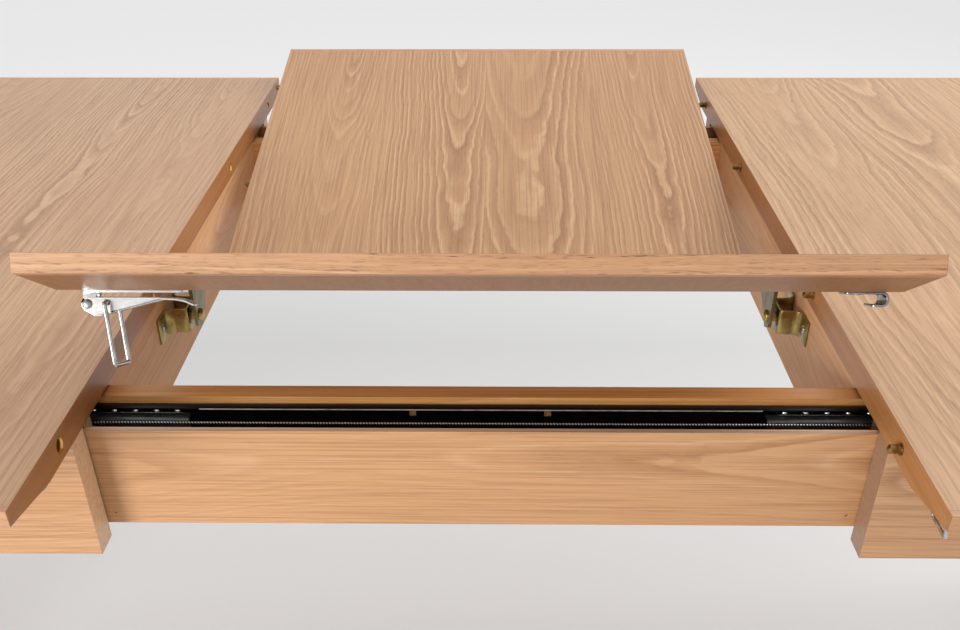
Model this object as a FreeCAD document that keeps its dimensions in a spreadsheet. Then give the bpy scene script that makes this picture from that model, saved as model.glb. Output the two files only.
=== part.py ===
# Extending table whose folding centre leaf swings up out of the frame between its two half tops.
# Millimetres, +Z up, +X along the table, -Y the front; origin on the floor under the table's middle.
import FreeCAD, Part
import Sketcher
import math
import os
import re

doc = FreeCAD.newDocument("LeafTable")

# ---------------------------------------------------------------- driving sizes
sizes = {
    # whole table
    "tableHigh": 755, "tableDeep": 900, "halfLong": 800,
    # tops: thickness in the middle and at the edge, width of the sloping underside, lipping width
    "topThick": 21, "edgeThick": 11, "bevelRun": 56, "lipWide": 6,
    # folding leaf: length along X, gap at its hinge, tilt of both halves, pivot line from the middle and top
    "leafLong": 497, "leafClear": 19.5, "hingeGap": 0.6, "frontTilt": 24.6, "rearTilt": 11, "pivotAhead": 113,
    "pivotDrop": 48.5,
    # aprons and legs of the half tops
    "apronBack": 97.5, "apronThick": 21, "apronHigh": 94, "legWide": 62, "legProud": 3, "glideWide": 26,
    "glideThick": 3, "blockThick": 28, "blockHigh": 70,
    # centre frame
    "frameSpare": 13.5, "frameDrop": 3.5, "frameHigh": 80, "fasciaGap": 1.8, "fasciaThick": 4.5, "slotWide": 39.5,
    "railThick": 15, "floorThick": 24, "crossGap": 3, "crossThick": 20, "bearerHigh": 14,
    # ball slides
    "slideDrop": 4.5, "channelHigh": 45, "channelDeep": 10, "channelWall": 1.5, "channelSpare": 19,
    "memberWall": 1.5, "memberProud": 2, "webHole": 5, "webHoleAt": 48.4, "webHoleDrop": 8.3,
    "ovalHole": 2, "ovalPitch": 31, "ovalInset": 28, "memberOut": 67, "memberLong": 380, "memberEndGap": 15,
    "memberRear": 3.6, "ballWide": 5, "ballGap": 0.1, "ballPitch": 15, "cageWall": 0.8, "cageLong": 212,
    "cageInset": 10, "cageBack": 1.8, "cageFront": 8.5,
    # runners, spacers, rope
    "runnerThick": 20, "runnerHigh": 56, "runnerEndGap": 20, "runnerBack": 6, "ropeSpace": 6, "ropeRadius": 1,
    "ropeHold": 0.3, "pulleyRadius": 14.5, "pulleyWide": 4, "pulleyRim": 1.4, "pinRadius": 2.5,
    "runFit": 0.05, "spacerLong": 20, "spacerNear": 40, "spacerPitch": 200, "clampLong": 14, "clampSide": 6,
    # alignment pins and sockets
    "pegRadius": 4, "pegOut": 9, "pegIn": 14, "socketWall": 1, "pegSlack": 0.3, "pegEdge": 82, "pegStep": 219,
    # swing arm and its bracket
    "armThick": 3, "armWide": 44, "armFoot": 24, "armEnd": 11, "bracketThick": 2, "bracketHigh": 22,
    "bracketWide": 26, "bracketFoot": 22, "bracketOut": 20.5, "bracketBend": 7, "bracketNose": 3, "rivetRadius": 3,
    "rivetHead": 5.5, "rivetDome": 1.8, "rivetTail": 1.5, "rivetFit": 0.3, "plateGap": 3.5, "screwHead": 3.6,
    "screwShank": 1.8, "screwLong": 14, "headHigh": 1.6,
    # concealed quadrant hinges of the leaf
    "quadRadius": 11, "quadThick": 2.4, "quadSlack": 0.3, "quadUnder": 1.5, "hingePitch": 190,
    # toggle latches and hooks
    "latchAt": 67, "catchAt": 71.5, "latchInset": 13, "plateThick": 1.5, "plateWide": 16, "plateLong": 60,
    "pinAt": 3.2, "pinDrop": 8.3, "earThick": 1.2, "earGap": 0.4, "leverLong": 63.3, "leverHead": 4.3,
    "leverDeep": 7, "leverWide": 14, "leverWall": 1.2, "leverPin": 1.5, "pinHead": 2.9, "pinDome": 1.2,
    "headGap": 0.15, "bailAt": 11.7, "bailRise": 0.7, "bailLong": 37, "bailWide": 22, "bailLean": 7,
    "bailEnd": 0.6, "wireRadius": 1.1, "hookInset": 5, "hookLong": 26, "hookDeep": 9.4, "hookLip": 10,
    "hookThick": 1.6, "hookWide": 16,
    # fascia pins
    "bradInset": 6.5, "bradUp": 9.5, "bradRadius": 1.2, "bradDeep": 14.5, "bradShort": 0.5,
    # pulley pins
    "pinDeep": 8, "pinCollar": 2, "pinCap": 0.6, "wheelPlay": 0.15,
}

sheet = doc.addObject("Spreadsheet::Sheet", "Sizes")
for row, (alias, number) in enumerate(sizes.items(), start=1):
    sheet.set("A%d" % row, alias)
    sheet.set("B%d" % row, str(number))
    sheet.setAlias("B%d" % row, alias)
doc.recompute()

# Derived heights and distances, written with the sheet's names.
named = {
    "openHalf": "(leafLong / 2 + leafClear)",
    "pegOuter": "(tableDeep / 2 - pegEdge)",
    "pegInner": "(tableDeep / 2 - pegEdge - pegStep)",
    "memberEnd": "(openHalf - memberOut + memberLong)",
    "channelHalf": "(memberEnd + channelSpare)",
    "pulleyAt": "(memberEnd + memberEndGap + pulleyRadius + pulleyRim)",
    "frameHalf": "(pulleyAt + pulleyRadius + frameSpare)",
    "bradAt": "(openHalf - bradInset)",
    "runnerLong": "(legInner + legSide - apronInner - blockThick - runnerEndGap - openHalf - runnerBack)",
    "underTop": "(tableHigh - topThick)",
    "frameTop": "(tableHigh - topThick - frameDrop)",
    "frameBase": "(tableHigh - topThick - frameDrop - frameHigh)",
    "apronFace": "(tableDeep / 2 - apronBack)",
    "fasciaFace": "(tableDeep / 2 - apronBack - apronThick - fasciaGap)",
    "slotFace": "(tableDeep / 2 - apronBack - apronThick - fasciaGap - fasciaThick)",
    "railFace": "(tableDeep / 2 - apronBack - apronThick - fasciaGap - fasciaThick - slotWide)",
    "slideTop": "(tableHigh - topThick - frameDrop - slideDrop)",
    "slideMiddle": "(tableHigh - topThick - frameDrop - slideDrop - channelHigh / 2)",
    "memberHigh": "(channelHigh - 2 * (channelWall + ballWide + 2 * ballGap))",
    "memberFace": "(tableDeep / 2 - apronBack - apronThick - fasciaGap - fasciaThick - slotWide"
                  " + channelDeep + memberProud)",
    "crossFace": "(openHalf + crossGap)",
    "pivotHigh": "(tableHigh - pivotDrop)",
    "latchLine": "(tableDeep / 2 - latchAt)",
    "catchLine": "(tableDeep / 2 - catchAt)",
    "tableEnd": "(openHalf + halfLong)",
    "leafHalf": "(leafLong / 2)",
    "lipDrop": "(edgeThick + (topThick - edgeThick) * lipWide / bevelRun)",
    "ropeLine": "(tableDeep / 2 - apronBack - apronThick - fasciaGap - fasciaThick - slotWide"
                " + channelDeep + memberProud + ropeSpace / 2)",
    "raceDrop": "(channelHigh / 2 - channelWall - ballGap - ballWide / 2)",
    "legInner": "(openHalf + halfLong - apronBack + legProud - legWide)",
    "legSide": "(tableDeep / 2 - apronBack + legProud - legWide)",
    "endInner": "(openHalf + halfLong - apronBack - apronThick)",
    "apronInner": "(tableDeep / 2 - apronBack - apronThick)",
    "hingeY": "(pivotDrop * sin(frontTilt * 1 deg) - pivotAhead * (1 - cos(frontTilt * 1 deg)))",
    "hingeZ": "(tableHigh - pivotDrop + pivotDrop * cos(frontTilt * 1 deg) - pivotAhead * sin(frontTilt * 1 deg))",
}


def bind(text):
    """Turn a size rule written with plain names into an expression on the sheet."""
    text = str(text)
    for _ in range(6):
        text = re.sub(r"[A-Za-z][A-Za-z0-9]*", lambda word: named.get(word.group(0), word.group(0)), text)
    return re.sub(r"[A-Za-z][A-Za-z0-9]*",
                  lambda word: "Sizes." + word.group(0) if word.group(0) in sizes else word.group(0), text)


def tie(item, where, rule):
    item.setExpression(where, bind(rule))


def value(rule):
    """The number that a size rule has now."""
    return float(sheet.evalExpression(bind(rule)))


def box(label, x, y, z, dx, dy, dz):
    item = doc.addObject("Part::Box", label)
    for where, rule in zip(("Placement.Base.x", "Placement.Base.y", "Placement.Base.z", "Length", "Width", "Height"),
                           (x, y, z, dx, dy, dz)):
        tie(item, where, rule)
    return item


turned = {
    "x": FreeCAD.Rotation(FreeCAD.Vector(0, 1, 0), 90),
    "y": FreeCAD.Rotation(FreeCAD.Vector(1, 0, 0), -90),
    "z": FreeCAD.Rotation(),
}


def rod(label, axis, x, y, z, radius, long):
    """A cylinder that starts at x, y, z and runs along the + side of an axis."""
    item = doc.addObject("Part::Cylinder", label)
    item.Placement = FreeCAD.Placement(FreeCAD.Vector(), turned[axis])
    for where, rule in zip(("Placement.Base.x", "Placement.Base.y", "Placement.Base.z", "Radius", "Height"),
                           (x, y, z, radius, long)):
        tie(item, where, rule)
    return item


def ball(label, x, y, z, radius):
    item = doc.addObject("Part::Sphere", label)
    for where, rule in zip(("Placement.Base.x", "Placement.Base.y", "Placement.Base.z", "Radius"), (x, y, z, radius)):
        tie(item, where, rule)
    return item


def fuse(label, pieces):
    item = doc.addObject("Part::MultiFuse", label)
    item.Shapes = pieces
    item.Refine = True
    return item


def cut(label, base, tools):
    item = doc.addObject("Part::Cut", label)
    item.Base = base
    item.Tool = tools[0] if len(tools) == 1 else fuse(label + "_tools", tools)
    return item


def together(label, pieces):
    """Separate solids that share one node."""
    item = doc.addObject("Part::Compound", label)
    item.Links = pieces
    return item


def profile(label, plane, corners, start, long):
    """A body padded from an outline: plane YZ pads along +X, plane XZ along -Y, plane XY along +Z."""
    body = doc.addObject("PartDesign::Body", label)
    sketch = body.newObject("Sketcher::SketchObject", label + "_outline")
    role = plane + "_Plane"
    origin = next(f for f in body.Origin.OriginFeatures if f.Role == role)
    sketch.AttachmentSupport = [(origin, "")]
    sketch.MapMode = "FlatFace"
    tie(sketch, "AttachmentOffset.Base.z", start)
    points = [FreeCAD.Vector(value(a), value(b), 0) for a, b in corners]
    count = len(points)
    for n in range(count):
        sketch.addGeometry(Part.LineSegment(points[n], points[(n + 1) % count]), False)
    for n in range(count):
        sketch.addConstraint(Sketcher.Constraint("Coincident", n, 2, (n + 1) % count, 1))
    for n, (a, b) in enumerate(corners):
        for kind, rule, number in (("DistanceX", a, points[n].x), ("DistanceY", b, points[n].y)):
            at = sketch.addConstraint(Sketcher.Constraint(kind, -1, 1, n, 1, number))
            tie(sketch, "Constraints[%d]" % at, rule)
    pad = body.newObject("PartDesign::Pad", label + "_pad")
    pad.Profile = sketch
    tie(pad, "Length", long)
    body.Tip = pad
    return body


def outward(sign, near, long):
    """Where a piece starts whose near end is that far from the middle, on the + or - side."""
    return near if sign > 0 else "-((%s) + (%s))" % (near, long)


def at(sign, rule):
    return rule if sign > 0 else "-(%s)" % rule


def raised(label, piece, half):
    """Turn a piece of the flat leaf into the half-open pose in which the table rests."""
    item = doc.addObject("Part::Compound", label)
    item.Links = [piece]
    if half == "front":
        axis, size, angle = FreeCAD.Vector(-1, 0, 0), "frontTilt", "-frontTilt"
        centreY, centreZ, goalY, goalZ = "-pivotAhead", "pivotHigh", "-pivotAhead", "pivotHigh"
    else:
        axis, size, angle = FreeCAD.Vector(1, 0, 0), "rearTilt", "rearTilt"
        centreY, centreZ, goalY, goalZ = "0", "tableHigh", "hingeY", "hingeZ"
    item.Placement = FreeCAD.Placement(FreeCAD.Vector(), FreeCAD.Rotation(axis, value(size)))
    tie(item, "Placement.Rotation.Angle", size + " * 1 deg")
    turn = "(%s) * 1 deg" % angle
    tie(item, "Placement.Base.y", "%s - (%s) * cos(%s) + (%s) * sin(%s)" % (goalY, centreY, turn, centreZ, turn))
    tie(item, "Placement.Base.z", "%s - (%s) * sin(%s) - (%s) * cos(%s)" % (goalZ, centreY, turn, centreZ, turn))
    return item


parts = []


def keep(item):
    parts.append(item)
    return item


sides = (("left", -1), ("right", 1))
ends = (("front", -1), ("rear", 1))
pegPlaces = ("-pegOuter", "-pegInner", "pegInner", "pegOuter")


# ---------------------------------------------------------------- tops and lippings
def pegs(label, edge, into, places):
    """Round brass pins with domed tips that stand out of an edge towards -X; into is the depth behind it."""
    made = []
    for n, y in enumerate(places):
        name = "%s_%d" % (label, n)
        stem = rod(name + "_stem", "x", "%s - pegOut + pegRadius" % edge, y, "tableHigh - topThick / 2", "pegRadius",
                   "pegOut - pegRadius + %s" % into)
        tip = ball(name + "_tip", "%s - pegOut + pegRadius" % edge, y, "tableHigh - topThick / 2", "pegRadius")
        made.append(fuse(name, [stem, tip]))
    return made


def sockets(label, edge, places):
    """Brass tubes let into an edge that faces +X, and the bores that they fill."""
    tubes, bores = [], []
    for n, y in enumerate(places):
        name = "%s_%d" % (label, n)
        deep = "pegOut + 3"
        bore = rod(name + "_bore", "x", "%s - (%s)" % (edge, deep), y, "tableHigh - topThick / 2",
                   "pegRadius + pegSlack + socketWall", deep)
        hole = rod(name + "_hole", "x", "%s - (%s) - 1" % (edge, deep), y, "tableHigh - topThick / 2",
                   "pegRadius + pegSlack", deep + " + 2")
        tubes.append(cut(name, bore, [hole]))
        bores.append(bore)
    return tubes, bores


def lipping(label, sign, start, long):
    corners = [("tableDeep / 2", "tableHigh"), ("tableDeep / 2", "tableHigh - edgeThick"),
               ("tableDeep / 2 - lipWide", "tableHigh - lipDrop"), ("tableDeep / 2 - lipWide", "tableHigh")]
    return profile(label, "YZ", [(at(sign, y), z) for y, z in corners], start, long)


def half_top(side, sign):
    start = outward(sign, "openHalf", "halfLong - lipWide")
    corners = [("-(tableDeep / 2 - lipWide)", "tableHigh"), ("-(tableDeep / 2 - lipWide)", "tableHigh - lipDrop"),
               ("-(tableDeep / 2 - bevelRun)", "underTop"), ("tableDeep / 2 - bevelRun", "underTop"),
               ("tableDeep / 2 - lipWide", "tableHigh - lipDrop"), ("tableDeep / 2 - lipWide", "tableHigh")]
    board = profile(side + "_board", "YZ", corners, start, "halfLong - lipWide")
    slope = "(topThick - edgeThick) / bevelRun"
    wedge = profile(side + "_end_slope", "XZ", [
        (at(sign, "(tableEnd - bevelRun)"), "underTop"),
        (at(sign, "(tableEnd + 2)"), "tableHigh - edgeThick + 2 * " + slope),
        (at(sign, "(tableEnd + 2)"), "underTop - 2"), (at(sign, "(tableEnd - bevelRun)"), "underTop - 2")],
        "-(tableDeep / 2)", "tableDeep")
    tools = [wedge]
    if side == "right":
        pins = pegs("right_pin", "openHalf", "pegIn", pegPlaces)
        keep(together("right_alignment_pins", pins))
        tools += pins
    else:
        tubes, bores = sockets("left_socket", "-openHalf", pegPlaces)
        keep(together("left_alignment_sockets", tubes))
        tools += bores
    keep(cut(side + "_top", board, tools))
    strips = [lipping("%s_%s_lipping" % (side, end), way, outward(sign, "openHalf", "halfLong"), "halfLong")
              for end, way in ends]
    strips.append(profile(side + "_end_lipping", "XZ", [
        (at(sign, "(tableEnd - lipWide)"), "tableHigh"), (at(sign, "(tableEnd - lipWide)"), "tableHigh - lipDrop"),
        (at(sign, "tableEnd"), "tableHigh - edgeThick"), (at(sign, "tableEnd"), "tableHigh")],
        "-(tableDeep / 2 - lipWide)", "tableDeep - 2 * lipWide"))
    keep(together(side + "_lippings", strips))


# ---------------------------------------------------------------- aprons, legs, blocks, glides
def underframe(side, sign):
    long = "legInner - openHalf"
    bevel = 2
    aprons, legs = [], []
    for end, way in ends:
        aprons.append(box("%s_%s_apron" % (side, end), outward(sign, "openHalf", long),
                          outward(way, "apronFace - apronThick", "apronThick"), "underTop - apronHigh", long,
                          "apronThick", "apronHigh"))
        low, high = "legInner", "(legInner + legWide)"
        near, far = "legSide", "(legSide + legWide)"
        corners = [(low, near + " + %d" % bevel), (low + " + %d" % bevel, near), (high + " - %d" % bevel, near),
                   (high, near + " + %d" % bevel), (high, far + " - %d" % bevel), (high + " - %d" % bevel, far),
                   (low + " + %d" % bevel, far), (low, far + " - %d" % bevel)]
        legs.append(profile("%s_%s_leg" % (side, end), "XY",
                            [(at(sign, "(%s)" % x), at(way, "(%s)" % y)) for x, y in corners], "glideThick",
                            "underTop - glideThick"))
    aprons.append(box(side + "_end_apron", outward(sign, "endInner", "apronThick"), "-legSide",
                      "underTop - apronHigh", "apronThick", "2 * legSide", "apronHigh"))
    keep(together(side + "_aprons", aprons))
    keep(together(side + "_legs", legs))
    blocks, glides = [], []
    for end, way in ends:
        reach = "(legInner + legSide)"
        corners = [(reach + " - apronInner", "apronInner"), ("endInner", reach + " - endInner"),
                   ("endInner", reach + " - endInner - blockThick"), (reach + " - apronInner - blockThick", "apronInner")]
        blocks.append(profile("%s_%s_block" % (side, end), "XY",
                              [(at(sign, "(%s)" % x), at(way, "(%s)" % y)) for x, y in corners],
                              "underTop - blockHigh", "blockHigh"))
        glides.append(rod("%s_%s_glide" % (side, end), "z", at(sign, "(legInner + legWide / 2)"),
                          at(way, "(legSide + legWide / 2)"), "0", "glideWide / 2", "glideThick"))
    keep(together(side + "_corner_blocks", blocks))
    keep(together(side + "_glides", glides))


# ---------------------------------------------------------------- runners and inner slide members
def member(label, sign, way):
    top, low = "(slideMiddle + memberHigh / 2)", "(slideMiddle - memberHigh / 2)"
    rear, face = "(railFace + memberRear)", "memberFace"
    corners = [(rear, top), (face, top), (face, low), (rear, low), (rear, low + " + memberWall"),
               (face + " - memberWall", low + " + memberWall"), (face + " - memberWall", top + " - memberWall"),
               (rear, top + " - memberWall")]
    strip = profile(label + "_strip", "YZ", [(at(way, "(%s)" % y), z) for y, z in corners],
                    outward(sign, "openHalf - memberOut", "memberLong"), "memberLong")
    holes = [rod("%s_hole_%d" % (label, n), "y", at(sign, "(openHalf - memberOut + ovalInset + ovalPitch * %d)" % n),
                 outward(way, "memberFace - memberWall - 1", "memberWall + 2"), "slideMiddle", "ovalHole",
                 "memberWall + 2") for n in range(2)]
    return cut(label, strip, holes)


def carriage(side, sign):
    """What joins a half top to the slides: runner, slide member, spacers and rope clamp, front and rear."""
    runners, members, spacers, clamps = [], [], [], []
    for end, way in ends:
        name = "%s_%s" % (side, end)
        runners.append(box(name + "_runner", outward(sign, "openHalf + runnerBack", "runnerLong"),
                           outward(way, "memberFace + ropeSpace", "runnerThick"), "underTop - runnerHigh",
                           "runnerLong", "runnerThick", "runnerHigh"))
        members.append(member(name + "_slide_member", sign, way))
        strand = "(pulleyRadius - ropeRadius - 1)"
        for n, place in enumerate(("openHalf + spacerNear",
                                    "openHalf + spacerNear + spacerPitch")):
            spacers.append(box("%s_spacer_%d" % (name, n), outward(sign, place, "spacerLong"),
                               outward(way, "memberFace", "ropeSpace"), "slideMiddle - " + strand, "spacerLong",
                               "ropeSpace", "2 * " + strand))
        # the left half holds the upper strand, the right half the lower one
        level = "(slideMiddle %s pulleyRadius)" % ("+" if sign < 0 else "-")
        base = level + " - 2" if sign < 0 else level + " - clampSide + 2"
        place = "openHalf + spacerNear + (spacerLong - clampLong) / 2"
        block = box(name + "_clamp_block", outward(sign, place, "clampLong"), outward(way, "memberFace", "ropeSpace"),
                    base, "clampLong", "ropeSpace", "clampSide")
        hole = rod(name + "_clamp_hole", "x", outward(sign, place + " - 1", "clampLong + 2"), at(way, "ropeLine"), level,
                   "ropeRadius + ropeHold", "clampLong + 2")
        clamps.append(cut(name + "_clamp", block, [hole]))
    keep(together(side + "_runners", runners))
    keep(together(side + "_slide_members", members))
    keep(together(side + "_slide_spacers", spacers))
    keep(together(side + "_rope_clamps", clamps))


# ---------------------------------------------------------------- centre frame
def frame():
    brads, pulleyPins, fascias, floors, rails, channels, ropes = [], [], [], [], [], [], []
    for end, way in ends:
        bradLong = "fasciaThick + bradDeep - bradShort"
        endBrads = [rod("%s_brad_%d" % (end, n), "y", x, outward(way, "slotFace - bradDeep", bradLong),
                        "frameBase + bradUp", "bradRadius", bradLong) for n, x in enumerate(("-bradAt", "bradAt"))]
        brads += endBrads
        bores = [rod("%s_brad_hole_%d" % (end, n), "y", x, outward(way, "slotFace - 1", "fasciaThick + 2"),
                     "frameBase + bradUp", "bradRadius", "fasciaThick + 2")
                 for n, x in enumerate(("-bradAt", "bradAt"))]
        fascias.append(cut(end + "_fascia", box(end + "_fascia_board", "-frameHalf",
                                                outward(way, "slotFace", "fasciaThick"), "frameBase",
                                                "2 * frameHalf", "fasciaThick", "frameHigh"), bores))
        floors.append(cut(end + "_slot_floor", box(end + "_slot_floor_board", "-frameHalf",
                                                   outward(way, "railFace", "slotWide"), "frameBase",
                                                   "2 * frameHalf", "slotWide", "floorThick"), endBrads))
        toWheel = "channelDeep + memberProud + ropeSpace / 2"
        endPins = []
        for side, sign in sides:
            name, x = "%s_%s_pulley" % (side, end), at(sign, "pulleyAt")
            long = "pinDeep + %s + pulleyWide / 2 + wheelPlay + pinCap / 2" % toWheel
            shank = rod(name + "_shank", "y", x, outward(way, "railFace - pinDeep", long), "slideMiddle", "pinRadius",
                        long)
            head = rod(name + "_head", "y", x, outward(way, "ropeLine + pulleyWide / 2 + wheelPlay", "pinCap"),
                       "slideMiddle", "pinRadius + pinCollar", "pinCap")
            collar = rod(name + "_collar", "y", x, outward(way, "railFace", toWheel + " - pulleyWide / 2 - wheelPlay"),
                         "slideMiddle", "pinRadius + pinCollar", toWheel + " - pulleyWide / 2 - wheelPlay")
            endPins.append(fuse(name + "_pin", [shank, head, collar]))
            keep(pulley(name, sign, way))
        pulleyPins += endPins
        rails.append(cut(end + "_inner_rail", box(end + "_rail_board", "-frameHalf",
                                                  outward(way, "railFace - railThick", "railThick"), "frameBase",
                                                  "2 * frameHalf", "railThick", "frameHigh"), endPins))
        channels.append(slide_channel(end + "_slide_channel", way))
        ropes.append(rope(end + "_sync_rope", way))
    keep(together("outer_fascias", fascias))
    keep(together("slot_floors", floors))
    keep(together("inner_rails", rails))
    keep(together("slide_channels", channels))
    keep(together("sync_ropes", ropes))
    keep(together("fascia_pins", brads))
    keep(together("pulley_pins", pulleyPins))
    inside = "(railFace - railThick)"
    crossRails, bearers = [], []
    for side, sign in sides:
        board = box(side + "_cross_board", outward(sign, "crossFace", "crossThick"), "-" + inside, "frameBase",
                    "crossThick", "2 * " + inside, "frameHigh - bearerHigh")
        crossRails.append(cut(side + "_cross_rail", board, [
            rod("%s_pilot_%d" % (side, n), "x", outward(sign, "crossFace", "screwLong - bracketThick"),
                "-pivotAhead %s (bracketWide / 2 + bracketFoot / 2)" % step, "pivotHigh", "screwShank",
                "screwLong - bracketThick") for n, step in enumerate(("-", "+"))]))
        bearers.append(box(side + "_cross_bearer", outward(sign, "crossFace", "crossThick"), "-" + inside,
                           "frameTop - bearerHigh", "crossThick", "2 * " + inside, "bearerHigh"))
    keep(together("cross_rails", crossRails))
    keep(together("cross_bearers", bearers))


def slide_channel(label, way):
    top, low = "slideTop", "(slideTop - channelHigh)"
    rear, face = "railFace", "(railFace + channelDeep)"
    web = rear + " + channelWall"
    corners = [(rear, low), (face, low), (face, low + " + channelWall"), (web, low + " + channelWall"),
               (web, top + " - channelWall"), (face, top + " - channelWall"), (face, top), (rear, top)]
    strip = profile(label + "_strip", "YZ", [(at(way, "(%s)" % y), z) for y, z in corners], "-channelHalf",
                    "2 * channelHalf")
    holes = [box("%s_hole_%s" % (label, side), at(sign, "webHoleAt") + " - webHole / 2",
                 outward(way, "railFace - 1", "channelWall + 2"), "slideTop - webHoleDrop - webHole / 2", "webHole",
                 "channelWall + 2", "webHole") for side, sign in sides]
    return cut(label, strip, holes)


def bent(label, sign, way, radius, thick):
    """Half a ring of wire round a pulley, open towards the middle."""
    ring = doc.addObject("Part::Torus", label)
    ring.Angle3 = 180
    ring.Placement = FreeCAD.Placement(FreeCAD.Vector(), FreeCAD.Rotation(FreeCAD.Vector(1, 0, 0), 90).multiply(
        FreeCAD.Rotation(FreeCAD.Vector(0, 0, 1), -90 * sign)))
    tie(ring, "Radius1", radius)
    tie(ring, "Radius2", thick)
    tie(ring, "Placement.Base.x", at(sign, "pulleyAt"))
    tie(ring, "Placement.Base.y", at(way, "ropeLine"))
    tie(ring, "Placement.Base.z", "slideMiddle")
    return ring


def rope(label, way):
    strands = [rod("%s_%s" % (label, name), "x", "-pulleyAt", at(way, "ropeLine"), "slideMiddle %s pulleyRadius" % step,
                   "ropeRadius", "2 * pulleyAt") for name, step in (("upper", "+"), ("lower", "-"))]
    turns = [bent("%s_turn_%s" % (label, side), sign, way, "pulleyRadius", "ropeRadius") for side, sign in sides]
    return fuse(label, strands + turns)


def pulley(label, sign, way):
    x = at(sign, "pulleyAt")
    disc = rod(label + "_disc", "y", x, outward(way, "ropeLine - pulleyWide / 2", "pulleyWide"), "slideMiddle",
               "pulleyRadius + pulleyRim", "pulleyWide")
    groove = doc.addObject("Part::Torus", label + "_groove")
    groove.Placement = FreeCAD.Placement(FreeCAD.Vector(), turned["y"])
    tie(groove, "Radius1", "pulleyRadius")
    tie(groove, "Radius2", "ropeRadius + ropeHold")
    tie(groove, "Placement.Base.x", x)
    tie(groove, "Placement.Base.y", at(way, "ropeLine"))
    tie(groove, "Placement.Base.z", "slideMiddle")
    half = "(ropeRadius + ropeHold)"
    lip = cut(label + "_lip_ring",
              rod(label + "_lip_outer", "y", x, outward(way, "ropeLine - " + half, "2 * " + half), "slideMiddle",
                  "pulleyRadius + pulleyRim + 1", "2 * " + half),
              [rod(label + "_lip_inner", "y", x, outward(way, "ropeLine - %s - 1" % half, "2 * %s + 2" % half),
                   "slideMiddle", "pulleyRadius", "2 * %s + 2" % half)])
    bore = rod(label + "_bore", "y", x, outward(way, "ropeLine - pulleyWide / 2 - 1", "pulleyWide + 2"), "slideMiddle",
               "pinRadius + runFit", "pulleyWide + 2")
    return cut(label, disc, [groove, lip, bore])


# ---------------------------------------------------------------- ball cages
def ball_cage(side, sign, end, way):
    name = "%s_%s" % (side, end)
    near = "openHalf - memberOut + cageInset"
    reach = "(raceDrop + cageWall / 2)"
    back, face = "(railFace + cageBack)", "(railFace + cageFront)"
    top, low = "(slideMiddle + %s)" % reach, "(slideMiddle - %s)" % reach
    corners = [(back, low), (face, low), (face, low + " + cageWall"), (back + " + cageWall", low + " + cageWall"),
               (back + " + cageWall", top + " - cageWall"), (face, top + " - cageWall"), (face, top), (back, top)]
    strip = profile(name + "_cage_strip", "YZ", [(at(way, "(%s)" % y), z) for y, z in corners],
                    outward(sign, near, "cageLong"), "cageLong")
    count = int(value("cageLong / ballPitch"))
    pockets, balls = [], []
    for n in range(count):
        x = at(sign, "(%s + ballPitch / 3 + ballPitch * %d)" % (near, n))
        y = at(way, "(railFace + channelDeep / 2)")
        pockets.append(rod("%s_pocket_%d" % (name, n), "z", x, y, low + " - 1", "ballWide / 2 + ballGap",
                           "2 * %s + 2" % reach))
        for level in ("+", "-"):
            balls.append(ball("%s_ball_%d_%s" % (name, n, "upper" if level == "+" else "lower"), x, y,
                              "slideMiddle %s raceDrop" % level, "ballWide / 2"))
    return cut(name + "_ball_cage", strip, pockets), balls


# ---------------------------------------------------------------- leaf
def leaf_panel(half, way):
    corners = [("hingeGap / 2", "tableHigh"), ("tableDeep / 2 - lipWide", "tableHigh"),
               ("tableDeep / 2 - lipWide", "tableHigh - lipDrop"), ("tableDeep / 2 - bevelRun", "underTop"),
               ("hingeGap / 2", "underTop")]
    board = profile("leaf_%s_board" % half, "YZ", [(at(way, "(%s)" % y), z) for y, z in corners], "-leafHalf", "leafLong")
    places = [y for y in pegPlaces if y.startswith("-") == (way < 0)]
    pins = pegs("leaf_%s_pin" % half, "-leafHalf", "pegIn", places)
    tubes, bores = sockets("leaf_%s_socket" % half, "leafHalf", places)
    keep(raised("leaf_%s_pins" % half, together("leaf_%s_pins_flat" % half, pins), half))
    keep(raised("leaf_%s_sockets" % half, together("leaf_%s_sockets_flat" % half, tubes), half))
    slots = []
    for n in (-1, 0, 1):
        # the slot stops short of the upper face, which stays whole above the hinges
        disc = rod("leaf_%s_slot_disc_%d" % (half, n), "x", "%d * hingePitch - quadThick / 2 - quadSlack" % n, "0",
                   "tableHigh", "quadRadius + quadSlack", "quadThick + 2 * quadSlack")
        skin = box("leaf_%s_slot_skin_%d" % (half, n), "%d * hingePitch - quadThick" % n, "-quadRadius - 1",
                   "tableHigh - quadUnder + quadSlack", "2 * quadThick", "2 * quadRadius + 2", "quadRadius + 2")
        slots.append(cut("leaf_%s_slot_%d" % (half, n), disc, [skin]))
    keep(raised("leaf_%s_panel" % half, cut("leaf_%s_panel_flat" % half, board, pins + bores + slots), half))
    keep(raised("leaf_%s_lipping" % half, lipping("leaf_%s_lipping_flat" % half, way, "-leafHalf", "leafLong"), half))


def quadrants():
    """Concealed hinge plates: part discs about the hinge line, just under the upper face."""
    plates = []
    for n in (-1, 0, 1):
        disc = rod("quadrant_disc_%d" % n, "x", "%d * hingePitch - quadThick / 2" % n, "0", "tableHigh", "quadRadius",
                   "quadThick")
        above = box("quadrant_trim_%d" % n, "%d * hingePitch - quadThick" % n, "-quadRadius - 1", "tableHigh - quadUnder",
                    "2 * quadThick", "2 * quadRadius + 2", "quadRadius + 2")
        plates.append(cut("quadrant_%d" % n, disc, [above]))
    keep(raised("leaf_hinge_quadrants", together("quadrants_flat", plates), "front"))


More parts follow.
